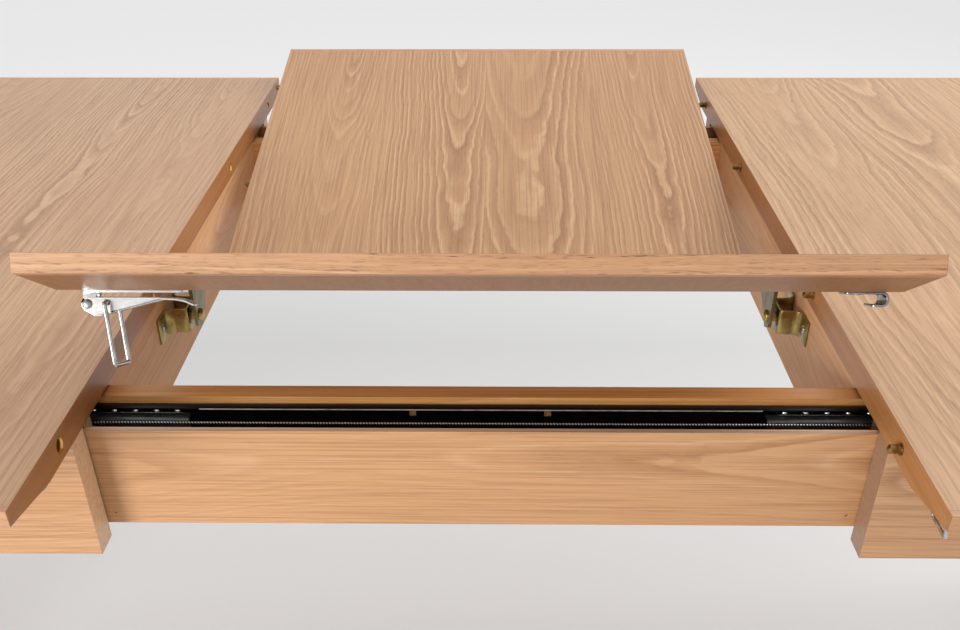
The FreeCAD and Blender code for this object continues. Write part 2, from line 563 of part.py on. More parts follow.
def swing_arm(side, sign):
    name = side + "_swing_arm"
    near = "crossFace - bracketOut - plateGap - armThick"
    top, low = "underTop", "pivotHigh"
    plate = profile(name + "_plate", "YZ", [
        ("-pivotAhead - armWide / 2", top), ("-pivotAhead + armWide / 2", top),
        ("-pivotAhead + armWide / 2", top + " - 6"), ("-pivotAhead + armEnd", low),
        ("-pivotAhead + armEnd * 0.5", low + " - armEnd * 0.87"), ("-pivotAhead - armEnd * 0.5", low + " - armEnd * 0.87"),
        ("-pivotAhead - armEnd", low), ("-pivotAhead - armWide / 2", top + " - 6")],
        outward(sign, near, "armThick"), "armThick")
    foot = box(name + "_foot", outward(sign, near + " - armFoot", "armFoot + armThick"), "-pivotAhead - armWide / 2",
               "underTop - armThick", "armFoot + armThick", "armWide", "armThick")
    hole = rod(name + "_hole", "x", outward(sign, near + " - 1", "armThick + 2"), "-pivotAhead", "pivotHigh",
               "rivetRadius + runFit", "armThick + 2")
    return cut(name, fuse(name + "_blank", [plate, foot]), [hole])


def arc(x, y, radius, start, way, steps=3):
    """Points of a quarter bend about x, y, from a start angle in degrees, one way or the other."""
    turns = [math.radians(start + way * 90 * n / steps) for n in range(steps + 1)]
    return [("%s + %.6f * (%s)" % (x, math.cos(t), radius), "%s + %.6f * (%s)" % (y, math.sin(t), radius)) for t in turns]


def bracket(side, sign):
    """Hat-shaped strip screwed to a cross rail; the swing arm's rivet goes through its face."""
    name = side + "_pivot_bracket"
    half = "bracketWide / 2"
    face = "(crossFace - bracketOut)"
    foot, wall = "(crossFace)", "(crossFace - bracketThick)"
    room = [(wall, "-(%s) - bracketFoot" % half)]
    room += arc(wall + " - bracketBend", "-(%s) - bracketBend" % half, "bracketBend", 0, 1)
    room += arc(face + " + bracketNose", "-(%s) + bracketNose" % half, "bracketNose", 270, -1)
    back = [(foot, "-(%s) - bracketFoot" % half)]
    back += arc(wall + " - bracketBend", "-(%s) - bracketBend" % half, "bracketBend + bracketThick", 0, 1)
    back += arc(face + " + bracketNose", "-(%s) + bracketNose" % half, "bracketNose - bracketThick", 270, -1)
    other = lambda points: [(x, "-(%s)" % y) for x, y in reversed(points)]
    corners = room + other(room) + list(reversed(back + other(back)))
    strip = profile(name + "_strip", "XY", [(at(sign, "(%s)" % x), "-pivotAhead + (%s)" % y) for x, y in corners],
                    "pivotHigh - bracketHigh / 2", "bracketHigh")
    armFace = face + " - plateGap - armThick - rivetFit"
    inside = "armThick + plateGap + rivetFit + bracketThick"
    shank = rod(side + "_rivet_shank", "x", outward(sign, armFace, inside + " + 1"), "-pivotAhead", "pivotHigh",
                "rivetRadius", inside + " + 1")
    head = rod(side + "_rivet_head", "x", outward(sign, armFace + " - rivetDome", "rivetDome"), "-pivotAhead",
               "pivotHigh", "rivetHead", "rivetDome")
    tail = rod(side + "_rivet_tail", "x", outward(sign, face + " + bracketThick", "rivetTail"), "-pivotAhead",
               "pivotHigh", "rivetHead - 1", "rivetTail")
    collar = rod(side + "_rivet_collar", "x", outward(sign, face + " - plateGap + rivetFit", "plateGap - rivetFit"),
                 "-pivotAhead", "pivotHigh", "rivetHead - 1", "plateGap - rivetFit")
    rivet = fuse(side + "_rivet", [shank, collar, head, tail])
    screws = []
    for n, step in enumerate(("-", "+")):
        y = "-pivotAhead %s (%s + bracketFoot / 2)" % (step, half)
        screws.append(fuse("%s_screw_%d" % (side, n), [
            rod("%s_screw_shank_%d" % (side, n), "x", outward(sign, wall, "screwLong"), y, "pivotHigh", "screwShank",
                "screwLong"),
            rod("%s_screw_head_%d" % (side, n), "x", outward(sign, wall + " - headHigh", "headHigh"), y, "pivotHigh",
                "screwHead", "headHigh")]))
    return cut(name, strip, [rivet] + screws), rivet, screws


# ---------------------------------------------------------------- toggle latches and hooks
def latch(prefix, edge, line, wrap):
    """Toggle latch under an edge that faces -X: base plate with two ears, channel-shaped lever, wire bail."""
    start = "(%s + latchInset)" % edge
    pinX, pinZ = "(%s + pinAt)" % start, "(underTop - pinDrop)"
    plate = box(prefix + "_plate", start, "-%s - plateWide / 2" % line, "underTop - plateThick", "plateLong", "plateWide",
                "plateThick")
    earTop, outer = "pinDrop - plateThick / 2", "leverWide / 2 - leverWall - earGap"
    outline = [("-leverHead * 0.75", earTop), ("leverHead * 1.3", earTop), ("leverHead * 0.8", "-leverHead * 0.4"),
               ("leverHead * 0.3", "-leverHead * 0.7"), ("-leverHead * 0.3", "-leverHead * 0.7"),
               ("-leverHead * 0.7", "-leverHead * 0.4")]
    ears = [profile("%s_ear_%s" % (prefix, n), "XZ", [("%s + (%s)" % (pinX, x), "%s + (%s)" % (pinZ, z))
                                                      for x, z in outline], "%s + (%s)" % (line, near), "earThick")
            for n, near in (("front", outer + " - earThick"), ("rear", "-(%s)" % outer))]
    side = "leverWide / 2 + headGap"
    pin = rod(prefix + "_pin", "y", pinX, "-%s - (%s)" % (line, side), pinZ, "leverPin", "2 * (%s)" % side)
    heads = [rod("%s_pin_head_%s" % (prefix, n), "y", pinX, "-%s + %s" % (line, outward(way, side, "pinDome")), pinZ,
                 "pinHead", "pinDome") for n, way in ends]
    keep(wrap(prefix + "_base", fuse(prefix + "_base_flat", ears + [plate, pin] + heads)))

    # side view of the lever, from its round head to the down-turned tip, and the hollow between its cheeks
    silhouette = [("-leverHead", "-leverHead * 0.14"), ("-leverHead * 0.84", "leverHead * 0.56"),
                  ("-leverHead * 0.28", "leverHead * 0.88"), ("leverLong * 0.684", "leverHead * 0.88"),
                  ("leverLong * 0.84", "leverHead * 0.8"), ("leverLong * 0.932", "leverHead * 0.44"),
                  ("leverLong", "-leverHead * 0.12"), ("leverLong - 0.7", "-leverHead * 0.33"),
                  ("leverLong * 0.924", "leverHead * 0.21"), ("leverLong * 0.834", "leverHead * 0.51"),
                  ("leverLong * 0.703", "leverHead * 0.6"), ("leverLong * 0.41", "-leverDeep * 0.31"),
                  ("leverLong * 0.158", "-leverDeep * 0.93"), ("leverLong * 0.118", "-leverDeep"),
                  ("leverLong * 0.06", "-leverDeep"), ("-leverHead * 0.47", "-leverDeep * 0.59")]
    hollow = [("-leverHead - 2", "leverHead + 1"), ("leverLong * 0.6", "leverHead + 1"),
              ("leverLong * 0.6", "leverHead * 0.32"), ("leverLong * 0.4", "-leverDeep * 0.12"),
              ("leverLong * 0.15", "-leverDeep * 0.75"), ("leverLong * 0.04", "-leverDeep * 0.8"),
              ("-leverHead - 2", "-leverDeep * 0.8")]
    placed = lambda points: [("%s + (%s)" % (pinX, x), "%s + (%s)" % (pinZ, z)) for x, z in points]
    body = profile(prefix + "_lever_body", "XZ", placed(silhouette), line + " - leverWide / 2", "leverWide")
    pocket = profile(prefix + "_lever_hollow", "XZ", placed(hollow), line + " - leverWide / 2 + leverWall",
                     "leverWide - 2 * leverWall")
    bailX, bailZ = "(%s + bailAt)" % pinX, "(%s + bailRise)" % pinZ
    bores = [rod("%s_%s_bore" % (prefix, name), "y", x, "-%s - leverWide" % line, z, radius + " + runFit",
                 "2 * leverWide")
             for name, x, z, radius in (("pin", pinX, pinZ, "leverPin"), ("bail", bailX, bailZ, "wireRadius"))]
    keep(wrap(prefix + "_lever", cut(prefix + "_lever_flat", body, [pocket] + bores)))

    # the bail is drawn hanging from 0, 0, 0 and then leant and put in place
    wires = [rod(prefix + "_bail_bar", "y", "0", "-%s - bailWide / 2" % line, "-bailLong", "wireRadius", "bailWide")]
    for n, way in ends:
        y = "-%s + (%s)" % (line, at(way, "(bailWide / 2)"))
        wires.append(rod("%s_bail_leg_%s" % (prefix, n), "z", "0", y, "-bailLong", "wireRadius", "bailLong"))
        turnIn = "bailWide / 2 - leverWide / 2 + leverWall + bailEnd"
        wires.append(rod("%s_bail_end_%s" % (prefix, n), "y", "0",
                         "-%s + %s" % (line, outward(way, "leverWide / 2 - leverWall - bailEnd", turnIn)), "0",
                         "wireRadius", turnIn))
        wires += [ball("%s_bail_knee_%s_%d" % (prefix, n, m), "0", y, z, "wireRadius")
                  for m, z in enumerate(("0", "-bailLong"))]
    hung = together(prefix + "_bail_hung", [fuse(prefix + "_bail_flat", wires)])
    hung.Placement = FreeCAD.Placement(FreeCAD.Vector(), FreeCAD.Rotation(FreeCAD.Vector(0, -1, 0), value("bailLean")))
    tie(hung, "Placement.Rotation.Angle", "bailLean * 1 deg")
    tie(hung, "Placement.Base.x", bailX)
    tie(hung, "Placement.Base.z", bailZ)
    keep(wrap(prefix + "_bail", hung))


def hook(label, edge, line, wrap):
    """Hook under an edge that faces +X: flat plate whose end curls down and back."""
    start = "(%s - hookInset - hookLong)" % edge
    tip = "hookLong - hookLip"
    outline = [("0", "0"), ("hookLong - 3", "0"), ("hookLong - 0.9", "-0.9"), ("hookLong", "-3"),
               ("hookLong", "3 - hookDeep"), ("hookLong - 0.9", "0.9 - hookDeep"), ("hookLong - 3", "-hookDeep"),
               (tip, "-hookDeep"), (tip, "hookThick - hookDeep"), ("hookLong - 3", "hookThick - hookDeep"),
               ("hookLong - hookThick", "hookThick + 1.4 - hookDeep"), ("hookLong - hookThick", "-hookThick - 1.4"),
               ("hookLong - 3", "-hookThick"), ("0", "-hookThick")]
    keep(wrap(label, profile(label + "_bent", "XZ",
                             [("%s + %s" % (start, x), "underTop + (%s)" % z) for x, z in outline],
                             line + " - hookWide / 2", "hookWide")))


# ---------------------------------------------------------------- build everything
def with_half(label, piece):
    piece.Label = label
    return piece


def on_leaf(label, piece):
    return raised(label, piece, "front")


for side, sign in sides:
    half_top(side, sign)
    underframe(side, sign)
    carriage(side, sign)
frame()
for side, sign in sides:
    cages, balls = [], []
    for end, way in ends:
        cage, row = ball_cage(side, sign, end, way)
        cages.append(cage)
        balls += row
    keep(together(side + "_ball_cages", cages))
    keep(together(side + "_slide_balls", balls))
for half, way in ends:
    leaf_panel(half, way)
quadrants()
arms, brackets, rivets, screws = [], [], [], []
for side, sign in sides:
    arms.append(swing_arm(side, sign))
    strip, rivet, pair = bracket(side, sign)
    brackets.append(strip)
    rivets.append(rivet)
    screws += pair
keep(raised("swing_arms", together("swing_arms_flat", arms), "front"))
keep(together("pivot_brackets", brackets))
keep(together("pivot_rivets", rivets))
keep(together("bracket_screws", screws))
latch("leaf_latch", "-leafHalf", "latchLine", on_leaf)
latch("right_latch", "openHalf", "catchLine", with_half)
hook("leaf_hook", "leafHalf", "catchLine", on_leaf)
hook("left_hook", "-openHalf", "latchLine", with_half)

doc.recompute()

faults = [item.Label for item in doc.Objects if "Invalid" in item.State or "Error" in item.State]
if faults:
    raise SystemExit("failed objects: " + ", ".join(faults))
os.makedirs("parts", exist_ok=True)
for item in parts:
    if item.Shape.isNull() or not item.Shape.isValid() or not item.Shape.Solids:
        raise SystemExit("bad shape: " + item.Label)
for item in parts:
    item.Shape.exportStep("parts/%s.step" % item.Label)
print(len(parts), "nodes written")
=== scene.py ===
import math

import bmesh
import bpy
from mathutils import Matrix, Vector


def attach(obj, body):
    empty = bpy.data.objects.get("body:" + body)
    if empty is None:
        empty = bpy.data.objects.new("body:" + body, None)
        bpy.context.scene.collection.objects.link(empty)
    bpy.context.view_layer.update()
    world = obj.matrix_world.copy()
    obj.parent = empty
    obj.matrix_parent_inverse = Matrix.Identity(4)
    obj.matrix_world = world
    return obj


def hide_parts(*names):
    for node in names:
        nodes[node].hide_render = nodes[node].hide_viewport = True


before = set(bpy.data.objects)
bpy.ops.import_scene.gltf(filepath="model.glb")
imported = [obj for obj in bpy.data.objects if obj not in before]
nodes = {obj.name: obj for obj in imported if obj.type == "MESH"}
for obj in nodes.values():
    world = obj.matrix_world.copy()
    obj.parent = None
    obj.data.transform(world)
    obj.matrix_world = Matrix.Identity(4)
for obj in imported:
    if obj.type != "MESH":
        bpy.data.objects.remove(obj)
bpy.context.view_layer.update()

mm = 0.001


def linear(hexColour):
    # sRGB hex to linear, as the shader sockets want it
    out = []
    for n in (0, 2, 4):
        c = int(hexColour[n:n + 2], 16) / 255
        out.append(c / 12.92 if c <= 0.04045 else ((c + 0.055) / 1.055) ** 2.4)
    return (*out, 1)


def addNode(tree, kind, links=None, stops=(), give=0, **settings):
    # one node with its settings and ramp stops; links give a socket its source or its plain value
    node = tree.nodes.new("ShaderNode" + kind)
    for key, setting in settings.items():
        setattr(node, key, setting)
    for key, source in (links or {}).items():
        if isinstance(source, bpy.types.NodeSocket):
            tree.links.new(source, node.inputs[key])
        else:
            node.inputs[key].default_value = source
    if stops:
        while len(node.color_ramp.elements) < len(stops):
            node.color_ramp.elements.new(0.5)
        for element, (at, level) in zip(node.color_ramp.elements, stops):
            element.position, element.color = at, (level, level, level, 1)
    return node.outputs[give] if node.outputs else node


def newMaterial(name):
    material = bpy.data.materials.new(name)
    material.use_nodes = True
    tree = material.node_tree
    tree.nodes.clear()
    shader = tree.nodes.new("ShaderNodeBsdfPrincipled")
    addNode(tree, "OutputMaterial", {0: shader.outputs[0]})
    return material, tree, shader


# lacquered oak veneer: growth rings cut aslant show as straight lines with arches between them, each ring a
# porous darker line beside a paler one, and a satin lacquer over it softens the light
# the ramps say how strong a line is: over one ring from its start to the next, or over the range of a noise
grain = {"away": 5, "shift": 1.5, "faintest": 0.12, "calmFrom": 0.38, "calmTo": 0.6, "calmest": 0.3,
         "darkLine": [(0.0, 0.3), (0.1, 1.0), (0.34, 0.55), (0.7, 0.0), (1.0, 0.3)],
         "paleLine": [(0.0, 0.15), (0.04, 0.0), (0.68, 0.0), (0.84, 1.0), (0.97, 0.65)],
         "fineWaves": (4, 260, 260), "patchWaves": (3, 11, 11), "fine": [(0.32, 0.0), (0.68, 1.0)],
         "hair": [(0.46, 0.0), (0.66, 1.0)], "patch": [(0.36, 0.0), (0.64, 1.0)],
         "pores": [(0.55, 0.0), (0.68, 1.0)], "poresInDark": 0.7, "poresInPale": 0.25, "patchDepth": 0.8,
         "fineDepth": 0.5, "coat": 0.2, "coatRough": 0.3, "poreRough": 0.2, "fineRelief": 0.3, "relief": 0.12,
         "reliefStrength": 0.18, "arris": 0.8}


def makeOak(name, look):
    material, tree, shader = newMaterial(name)
    here = addNode(tree, "TexCoord", give="Object")
    # lay a tilted board flat, then its grain along the pattern's X
    flat = addNode(tree, "Mapping", {"Vector": here, "Rotation": (math.radians(look.get("tilt", 0)), 0, 0)})
    quarter = math.radians(90)
    turn = {"x": (0, 0, 0), "y": (0, 0, -quarter), "z": (0, quarter, 0), "xUpright": (quarter, 0, 0),
            "yUpright": (quarter, quarter, 0)}[look["along"]]
    away = grain["away"]
    board = addNode(tree, "Mapping", {"Vector": flat, "Rotation": turn,
                                      "Location": (away, away + look.get("seamAt", 0), away)})

    # sheets of veneer side by side, each from its own place in the log
    sheet = addNode(tree, "VectorMath", {0: board, 1: (20, look["sheetWide"], 20)}, operation="SNAP")
    seeded = addNode(tree, "VectorMath", {0: sheet, 1: (look["seed"],) * 3}, operation="ADD")
    luck = addNode(tree, "TexWhiteNoise", {"Vector": seeded}, give="Color", noise_dimensions="3D")
    inSheet = addNode(tree, "VectorMath", {0: board, 1: sheet}, operation="SUBTRACT")
    inSheet = addNode(tree, "VectorMath", {0: inSheet, 1: (1, 1, look["through"])}, operation="MULTIPLY")
    inSheet = addNode(tree, "VectorMath", {0: luck, 1: (grain["shift"], look["drift"], look["depth"]),
                                           2: inSheet}, operation="MULTIPLY_ADD")
    # the log sways, then ripples, and the noise that does it runs on along the grain
    for waves, detail, shift in look["sways"]:
        stretched = addNode(tree, "Mapping", {"Vector": board, "Scale": waves})
        wobble = addNode(tree, "TexNoise", {"Vector": stretched, "Scale": 1.0, "Detail": detail},
                         give="Color")
        inSheet = addNode(tree, "VectorMath", {0: wobble, 1: [v * mm for v in shift], 2: inSheet},
                          operation="MULTIPLY_ADD")
    fromHeart = addNode(tree, "VectorMath", {0: inSheet, 1: look["heart"]}, operation="SUBTRACT")
    aslant = addNode(tree, "Mapping", {"Vector": fromHeart, "Rotation": (0, math.radians(look["slant"]), 0)})
    section = addNode(tree, "VectorMath", {0: aslant, 1: (0, 1, 1)}, operation="MULTIPLY")
    radius = addNode(tree, "VectorMath", {0: section}, give="Value", operation="LENGTH")
    rings = addNode(tree, "Math", {0: radius, 1: look["ringWide"] * mm}, operation="DIVIDE")
    # wood from further out in the log grew slower, so its rings are narrower
    pace = addNode(tree, "TexWhiteNoise", {"Vector": seeded}, give="Value", noise_dimensions="3D")
    pace = addNode(tree, "MapRange", {0: pace, 3: look["pace"][0], 4: look["pace"][1]})
    rings = addNode(tree, "Math", {0: rings, 1: pace}, operation="MULTIPLY")
    phase = addNode(tree, "Math", {0: rings}, operation="FRACT")
    ring = addNode(tree, "Math", {0: rings}, operation="FLOOR")

    # some rings are stronger than others, and some stretches of the board are calm
    strength = addNode(tree, "TexWhiteNoise", {"W": ring}, noise_dimensions="1D")
    strength = addNode(tree, "MapRange", {0: strength, 3: grain["faintest"], 4: 1.0})
    calm = addNode(tree, "Mapping", {"Vector": board, "Scale": look["calmWaves"]})
    calm = addNode(tree, "TexNoise", {"Vector": calm, "Scale": 1.0, "Detail": 1.0})
    calm = addNode(tree, "MapRange", {0: calm, 1: grain["calmFrom"], 2: grain["calmTo"],
                                      3: grain["calmest"], 4: 1.0})
    marks = {}
    for kind in ("darkLine", "paleLine"):
        line = addNode(tree, "ValToRGB", {0: phase}, grain[kind])
        line = addNode(tree, "Math", {0: line, 1: strength}, operation="MULTIPLY")
        marks[kind] = addNode(tree, "Math", {0: line, 1: calm}, operation="MULTIPLY")

    # fine streaks, hairlines, broad patches, and pores as short dashes thickest in the dark line
    for kind, waves in (("fine", grain["fineWaves"]), ("hair", look["hairWaves"]),
                        ("patch", grain["patchWaves"]), ("pores", look["poreWaves"])):
        stretched = addNode(tree, "Mapping", {"Vector": board, "Scale": waves})
        noise = addNode(tree, "TexNoise", {"Vector": stretched, "Scale": 1.0, "Detail": 2.0})
        marks[kind] = addNode(tree, "ValToRGB", {0: noise}, grain[kind])
    early = addNode(tree, "MapRange", {0: marks["darkLine"], 1: 0.0, 2: grain["poresInDark"],
                                       3: grain["poresInPale"], 4: 1.0})
    pores = addNode(tree, "Math", {0: marks["pores"], 1: early}, operation="MULTIPLY")

    tone = linear(look["base"])
    for factor, depth, colour in ((marks["patch"], grain["patchDepth"], "warm"),
                                  (marks["fine"], grain["fineDepth"], "streak"),
                                  (marks["paleLine"], look["lightDepth"], "pale"),
                                  (marks["darkLine"], look["darkDepth"], "dark"),
                                  (marks["hair"], look["hairDepth"], "dark"),
                                  (pores, look["poreDepth"], "pore")):
        share = addNode(tree, "Math", {0: factor, 1: depth}, operation="MULTIPLY")
        tone = addNode(tree, "Mix", {0: share, 6: tone, 7: linear(look[colour])}, give=2, data_type="RGBA")
    # faces cut another way have their own colour: sawn ends, upper edges of the frame boards, the underside;
    # on the frame boards the ends facing +x carry painted light and those facing -x painted shade
    normal = addNode(tree, "NewGeometry", give="Normal")
    for face, colour, shade in look["faces"]:
        facing = addNode(tree, "VectorMath", {0: normal, 1: face}, give="Value", operation="DOT_PRODUCT")
        facing = addNode(tree, "MapRange", {0: facing, 1: 0.8, 2: 0.9})
        cutTone = addNode(tree, "Mix", {0: marks["fine"], 6: linear(colour), 7: linear(shade)}, give=2,
                          data_type="RGBA")
        tone = addNode(tree, "Mix", {0: facing, 6: tone, 7: cutTone}, give=2, data_type="RGBA")
    tree.links.new(tone, shader.inputs["Base Color"])

    satin, gloss = look.get("rough", 0.42), look.get("gloss", 0.5)
    dull = addNode(tree, "MapRange", {0: pores, 3: satin, 4: satin + grain["poreRough"]})
    tree.links.new(dull, shader.inputs["Roughness"])
    shader.inputs["Specular IOR Level"].default_value = gloss
    shader.inputs["Coat Weight"].default_value = grain["coat"] * gloss
    shader.inputs["Coat Roughness"].default_value = grain["coatRough"]
    relief = addNode(tree, "Math", {0: marks["fine"], 1: grain["fineRelief"], 2: pores},
                     operation="MULTIPLY_ADD")
    arris = addNode(tree, "Bevel", {"Radius": grain["arris"] * mm}, samples=4)
    bump = addNode(tree, "Bump", {"Height": relief, "Strength": grain["reliefStrength"],
                                  "Distance": grain["relief"] * mm, "Normal": arris}, invert=True)
    tree.links.new(bump, shader.inputs["Normal"])
    return material


# steel, brass and the rest: worn sheet metal with fine scratches, cloudy where it has been handled
wear = {"brush": (300, 2500, 2500), "cloudScale": 120.0, "wornFrom": 0.35, "wornTo": 0.7, "smoother": 0.08,
        "rougher": 0.12, "smoothest": 0.02, "scratch": 0.05}


def makeMetal(name, look):
    material, tree, shader = newMaterial(name)
    here = addNode(tree, "TexCoord", give="Object")
    brushed = addNode(tree, "Mapping", {"Vector": here, "Scale": look.get("brush", wear["brush"])})
    cloud = addNode(tree, "TexNoise", {"Vector": here, "Scale": wear["cloudScale"], "Detail": 4.0})
    scratch = addNode(tree, "TexNoise", {"Vector": brushed, "Scale": 1.0, "Detail": 2.0})
    worn = addNode(tree, "MapRange", {0: cloud, 1: wear["wornFrom"], 2: wear["wornTo"]})
    tone = addNode(tree, "Mix", {0: worn, 6: linear(look["colour"]), 7: linear(look["worn"])}, give=2,
                   data_type="RGBA")
    tree.links.new(tone, shader.inputs["Base Color"])
    rough = look["rough"]
    mixed = addNode(tree, "Mix", {0: 0.5, 2: scratch, 3: cloud}, data_type="FLOAT")
    dull = addNode(tree, "MapRange", {0: mixed, 1: 0.3, 2: 0.7,
                                      3: max(rough - wear["smoother"], wear["smoothest"]),
                                      4: rough + wear["rougher"]})
    tree.links.new(dull, shader.inputs["Roughness"])
    shader.inputs["Metallic"].default_value = look.get("metallic", 1.0)
    arris = addNode(tree, "Bevel", {"Radius": look.get("arris", 0.35) * mm}, samples=4)
    bump = addNode(tree, "Bump", {"Height": mixed, "Strength": look.get("bump", 0.12),
                                  "Distance": wear["scratch"] * mm, "Normal": arris})
    tree.links.new(bump, shader.inputs["Normal"])
    return material


# the folding leaf is drawn flat and then turned about its pivot line, front edge up; its rear half folds down
# about the hinge, and all heights are from the floor
leafSeat = {"pivot": (0, -113, 706.5), "frontTilt": 24.6, "rearTilt": 11.0, "hinge": (0, 9.93, 703.56),
            "flatTop": 755}
pivotY, pivotZ = leafSeat["pivot"][1:]
pivot = Vector(leafSeat["pivot"]) * mm
frontTurn = (Matrix.Translation(pivot) @ Matrix.Rotation(math.radians(-leafSeat["frontTilt"]), 4, "X")
             @ Matrix.Translation(-pivot))
rearTurn = (Matrix.Translation(Vector(leafSeat["hinge"]) * mm)
            @ Matrix.Rotation(math.radians(leafSeat["rearTilt"]), 4, "X")
            @ Matrix.Translation(Vector((0, 0, -leafSeat["flatTop"])) * mm))

# ringWide is in millimetres, slant in degrees, and the waves are counts per metre along, across and through
# the board; sways add how many millimetres such a wave moves the rings
# tops: crown-cut sheets, straight lines with arches between them
topLook = {"along": "y", "sheetWide": 0.15, "seed": 4.1, "drift": 0.09, "depth": 0.03,
           "heart": (5.8, 0.12, 0.0), "through": 0, "slant": 2.8, "ringWide": 6.0, "pace": (0.85, 1.45),
           "poreWaves": (90, 900, 900), "calmWaves": (1.5, 9, 9), "hairWaves": (9, 520, 520),
           "sways": [((1.3, 0.9, 1), 1.0, (0, 60, 70)), ((5, 6, 1), 1.0, (0, 12, 14)),
                     ((36, 44, 1), 2.0, (0, 3.2, 3.2))],
           "base": "C69E7C", "warm": "BE946E", "streak": "C09773", "pale": "D9B48F", "dark": "9A724F",
           "pore": "856447", "lightDepth": 0.95, "darkDepth": 0.85, "poreDepth": 0.4, "hairDepth": 0.5,
           "faces": [((1, 0, 0), "B67D4A", "A77040"), ((-1, 0, 0), "B67D4A", "A77040"),
                     ((0, 0, -1), "A9784F", "9C6C45")]}
leftOak = makeOak("oakVeneerLeftTop", dict(topLook, seed=7.3))
rightOak = makeOak("oakVeneerRightTop", dict(topLook, seed=2.4, seamAt=0.05, base="CCA27A", warm="C4976C",
                                             streak="C69A71", pale="E0B88D", dark="9F754E"))
# leaf: the same cut, a shade warmer, in narrower sheets that run on over the fold
leafLook = dict(topLook, base="C4966C", warm="BB8C62", streak="BE9066", pale="DDB68B", dark="986C46",
                pore="7F5B3B", sheetWide=0.125, seed=9.6)
leafFrontOak = makeOak("oakVeneerLeafFront", dict(leafLook, tilt=leafSeat["frontTilt"],
                       faces=topLook["faces"][:2] + [((0, -0.55, -0.83), "9A6C48", "906340")]))
leafRearOak = makeOak("oakVeneerLeafRear", dict(leafLook, tilt=-leafSeat["rearTilt"]))
# solid lippings: narrow straight rings with deep open pores
edgeLook = dict(topLook, along="x", pace=(1, 1), sheetWide=20.0, ringWide=3.1, poreWaves=(120, 1500, 1500),
                hairWaves=(22, 1100, 1100), depth=0.0, drift=0.0, heart=(5, 5, 5), through=1, slant=0.3,
                sways=[((2, 2, 1), 1.0, (0, 20, 20)), ((30, 60, 1), 2.0, (0, 1.5, 1.5))],
                base="CB9B72", warm="C08C62", streak="C49269", pale="D7AE86", dark="A97857", pore="6B432C",
                darkDepth=0.35, poreDepth=1.0, hairDepth=0.45)
edgeOak = makeOak("solidOakLipping", edgeLook)
# boards of the frame: one sheet each, straight grain along the board; the sawn ends facing +x are painted
# pale, painted light, and those facing -x painted darker, painted shade
boardLook = dict(topLook, along="xUpright", pace=(1, 1), sheetWide=20.0, heart=(5, 4.33, -0.03), depth=0.0,
                 drift=0.0, slant=0.8, ringWide=2.7,
                 sways=[((1.6, 2.5, 1), 1.0, (0, 60, 60)), ((5, 9, 1), 1.0, (0, 6, 6)),
                        ((30, 60, 1), 2.0, (0, 1.4, 1.4))],
                 base="D3A072", warm="C79363", streak="CC9A6B", pale="E3B68A", dark="A67246", pore="825B38",
                 lightDepth=0.75, hairWaves=(7, 640, 640), poreWaves=(60, 1300, 1300),
                 # the ends facing +x: painted light; the ends facing -x: painted shade
                 calmWaves=(1.5, 14, 14), faces=[((1, 0, 0), "FAD3AB", "E9C199"),
                                                 ((-1, 0, 0), "A27F66", "96745B")])
apronOak = makeOak("oakVeneerApron", dict(boardLook, seed=1.7, base="D3A47A", pale="E6BC96"))
fasciaOak = makeOak("oakVeneerFascia", dict(boardLook, seed=6.2, faces=[((0, 0, 1), "FAD4B2", "B19174")]))
# rails inside: oiled, not lacquered, so warmer and yellower
innerOak = makeOak("oiledOakRail", dict(boardLook, base="EFB06C", warm="E39E5A", streak="E7A765",
                                        pale="F6C687", dark="BC8142", seed=8.4,
                                        faces=[((0, 0, 1), "E1A362", "C1854C")]))
# cross rails: thinly lacquered, so duller, with a quiet figure; their pale tone is painted light, standing in
# for the light bounced onto them
crossOakPaintedBounce = makeOak("oakVeneerCrossRailPaintedBounce", dict(boardLook, along="yUpright", base="F0BB88", warm="E8B07B",
                                              streak="ECB581", pale="F8CC9D", dark="C08D63", seed=5.5,
                                              gloss=0.35, rough=0.55, faces=(), lightDepth=0.5, darkDepth=0.5,
                                              hairDepth=0.3, poreDepth=0.25))
# runners and legs: cut from the solid, so the rings go through
runnerOak = makeOak("plainOakRunner", dict(boardLook, seed=12.1, through=1, heart=(5, 5, 5)))
legOak = makeOak("oakLeg", dict(boardLook, along="z", seed=3.9, through=1, heart=(5, 5, 5), faces=()))

# black zinc plate: nearly black, with long soft highlights
blackSteel = makeMetal("blackZincSteel", {"colour": "101113", "worn": "1B1C1E", "rough": 0.32,
                                          "metallic": 0.7, "brush": (60, 2500, 2500)})
# the same plate rubbed satin: a dark grey sheen where the light rakes along it
satinBlackSteel = makeMetal("satinBlackSteel", {"colour": "5A5E5E", "worn": "6A6F6E", "rough": 0.3,
                                                "metallic": 0.65, "brush": (60, 2500, 2500)})
# bright zinc: pale grey with blurred reflections
brightSteel = makeMetal("brightSteel", {"colour": "B9BABB", "worn": "8F9091", "rough": 0.22})
# bright steel for the channel lips: a painted highlight, a bright line with streaks along it
lipHighlightSteel = makeMetal("paintedLipHighlightSteel", {"colour": "D5D5D3", "worn": "9A9A98", "rough": 0.3,
                                         "brush": (30, 2500, 2500)})
# hardened balls: almost white, each with a small bright point
ballSteel = makeMetal("polishedBallSteel", {"colour": "F6F6F6", "worn": "E4E4E4", "rough": 0.14,
                                            "bump": 0.02})
# bright nickel plate: warm white, mirror-like under a slight haze
nickel = makeMetal("brightNickel", {"colour": "EDECE9", "worn": "D9D7D3", "rough": 0.17})
# nickel painted darker and grey for the hooks, a painted dark reflection, with sharp reflections
hookNickelPaintedDark = makeMetal("nickelPaintedDark", {"colour": "9D9C98", "worn": "74736F", "rough": 0.15})
# polished wire: one thin sharp highlight along its length
nickelWire = makeMetal("polishedNickelWire", {"colour": "D0D0CE", "worn": "A5A4A1", "rough": 0.09,
                                              "arris": 0.1})
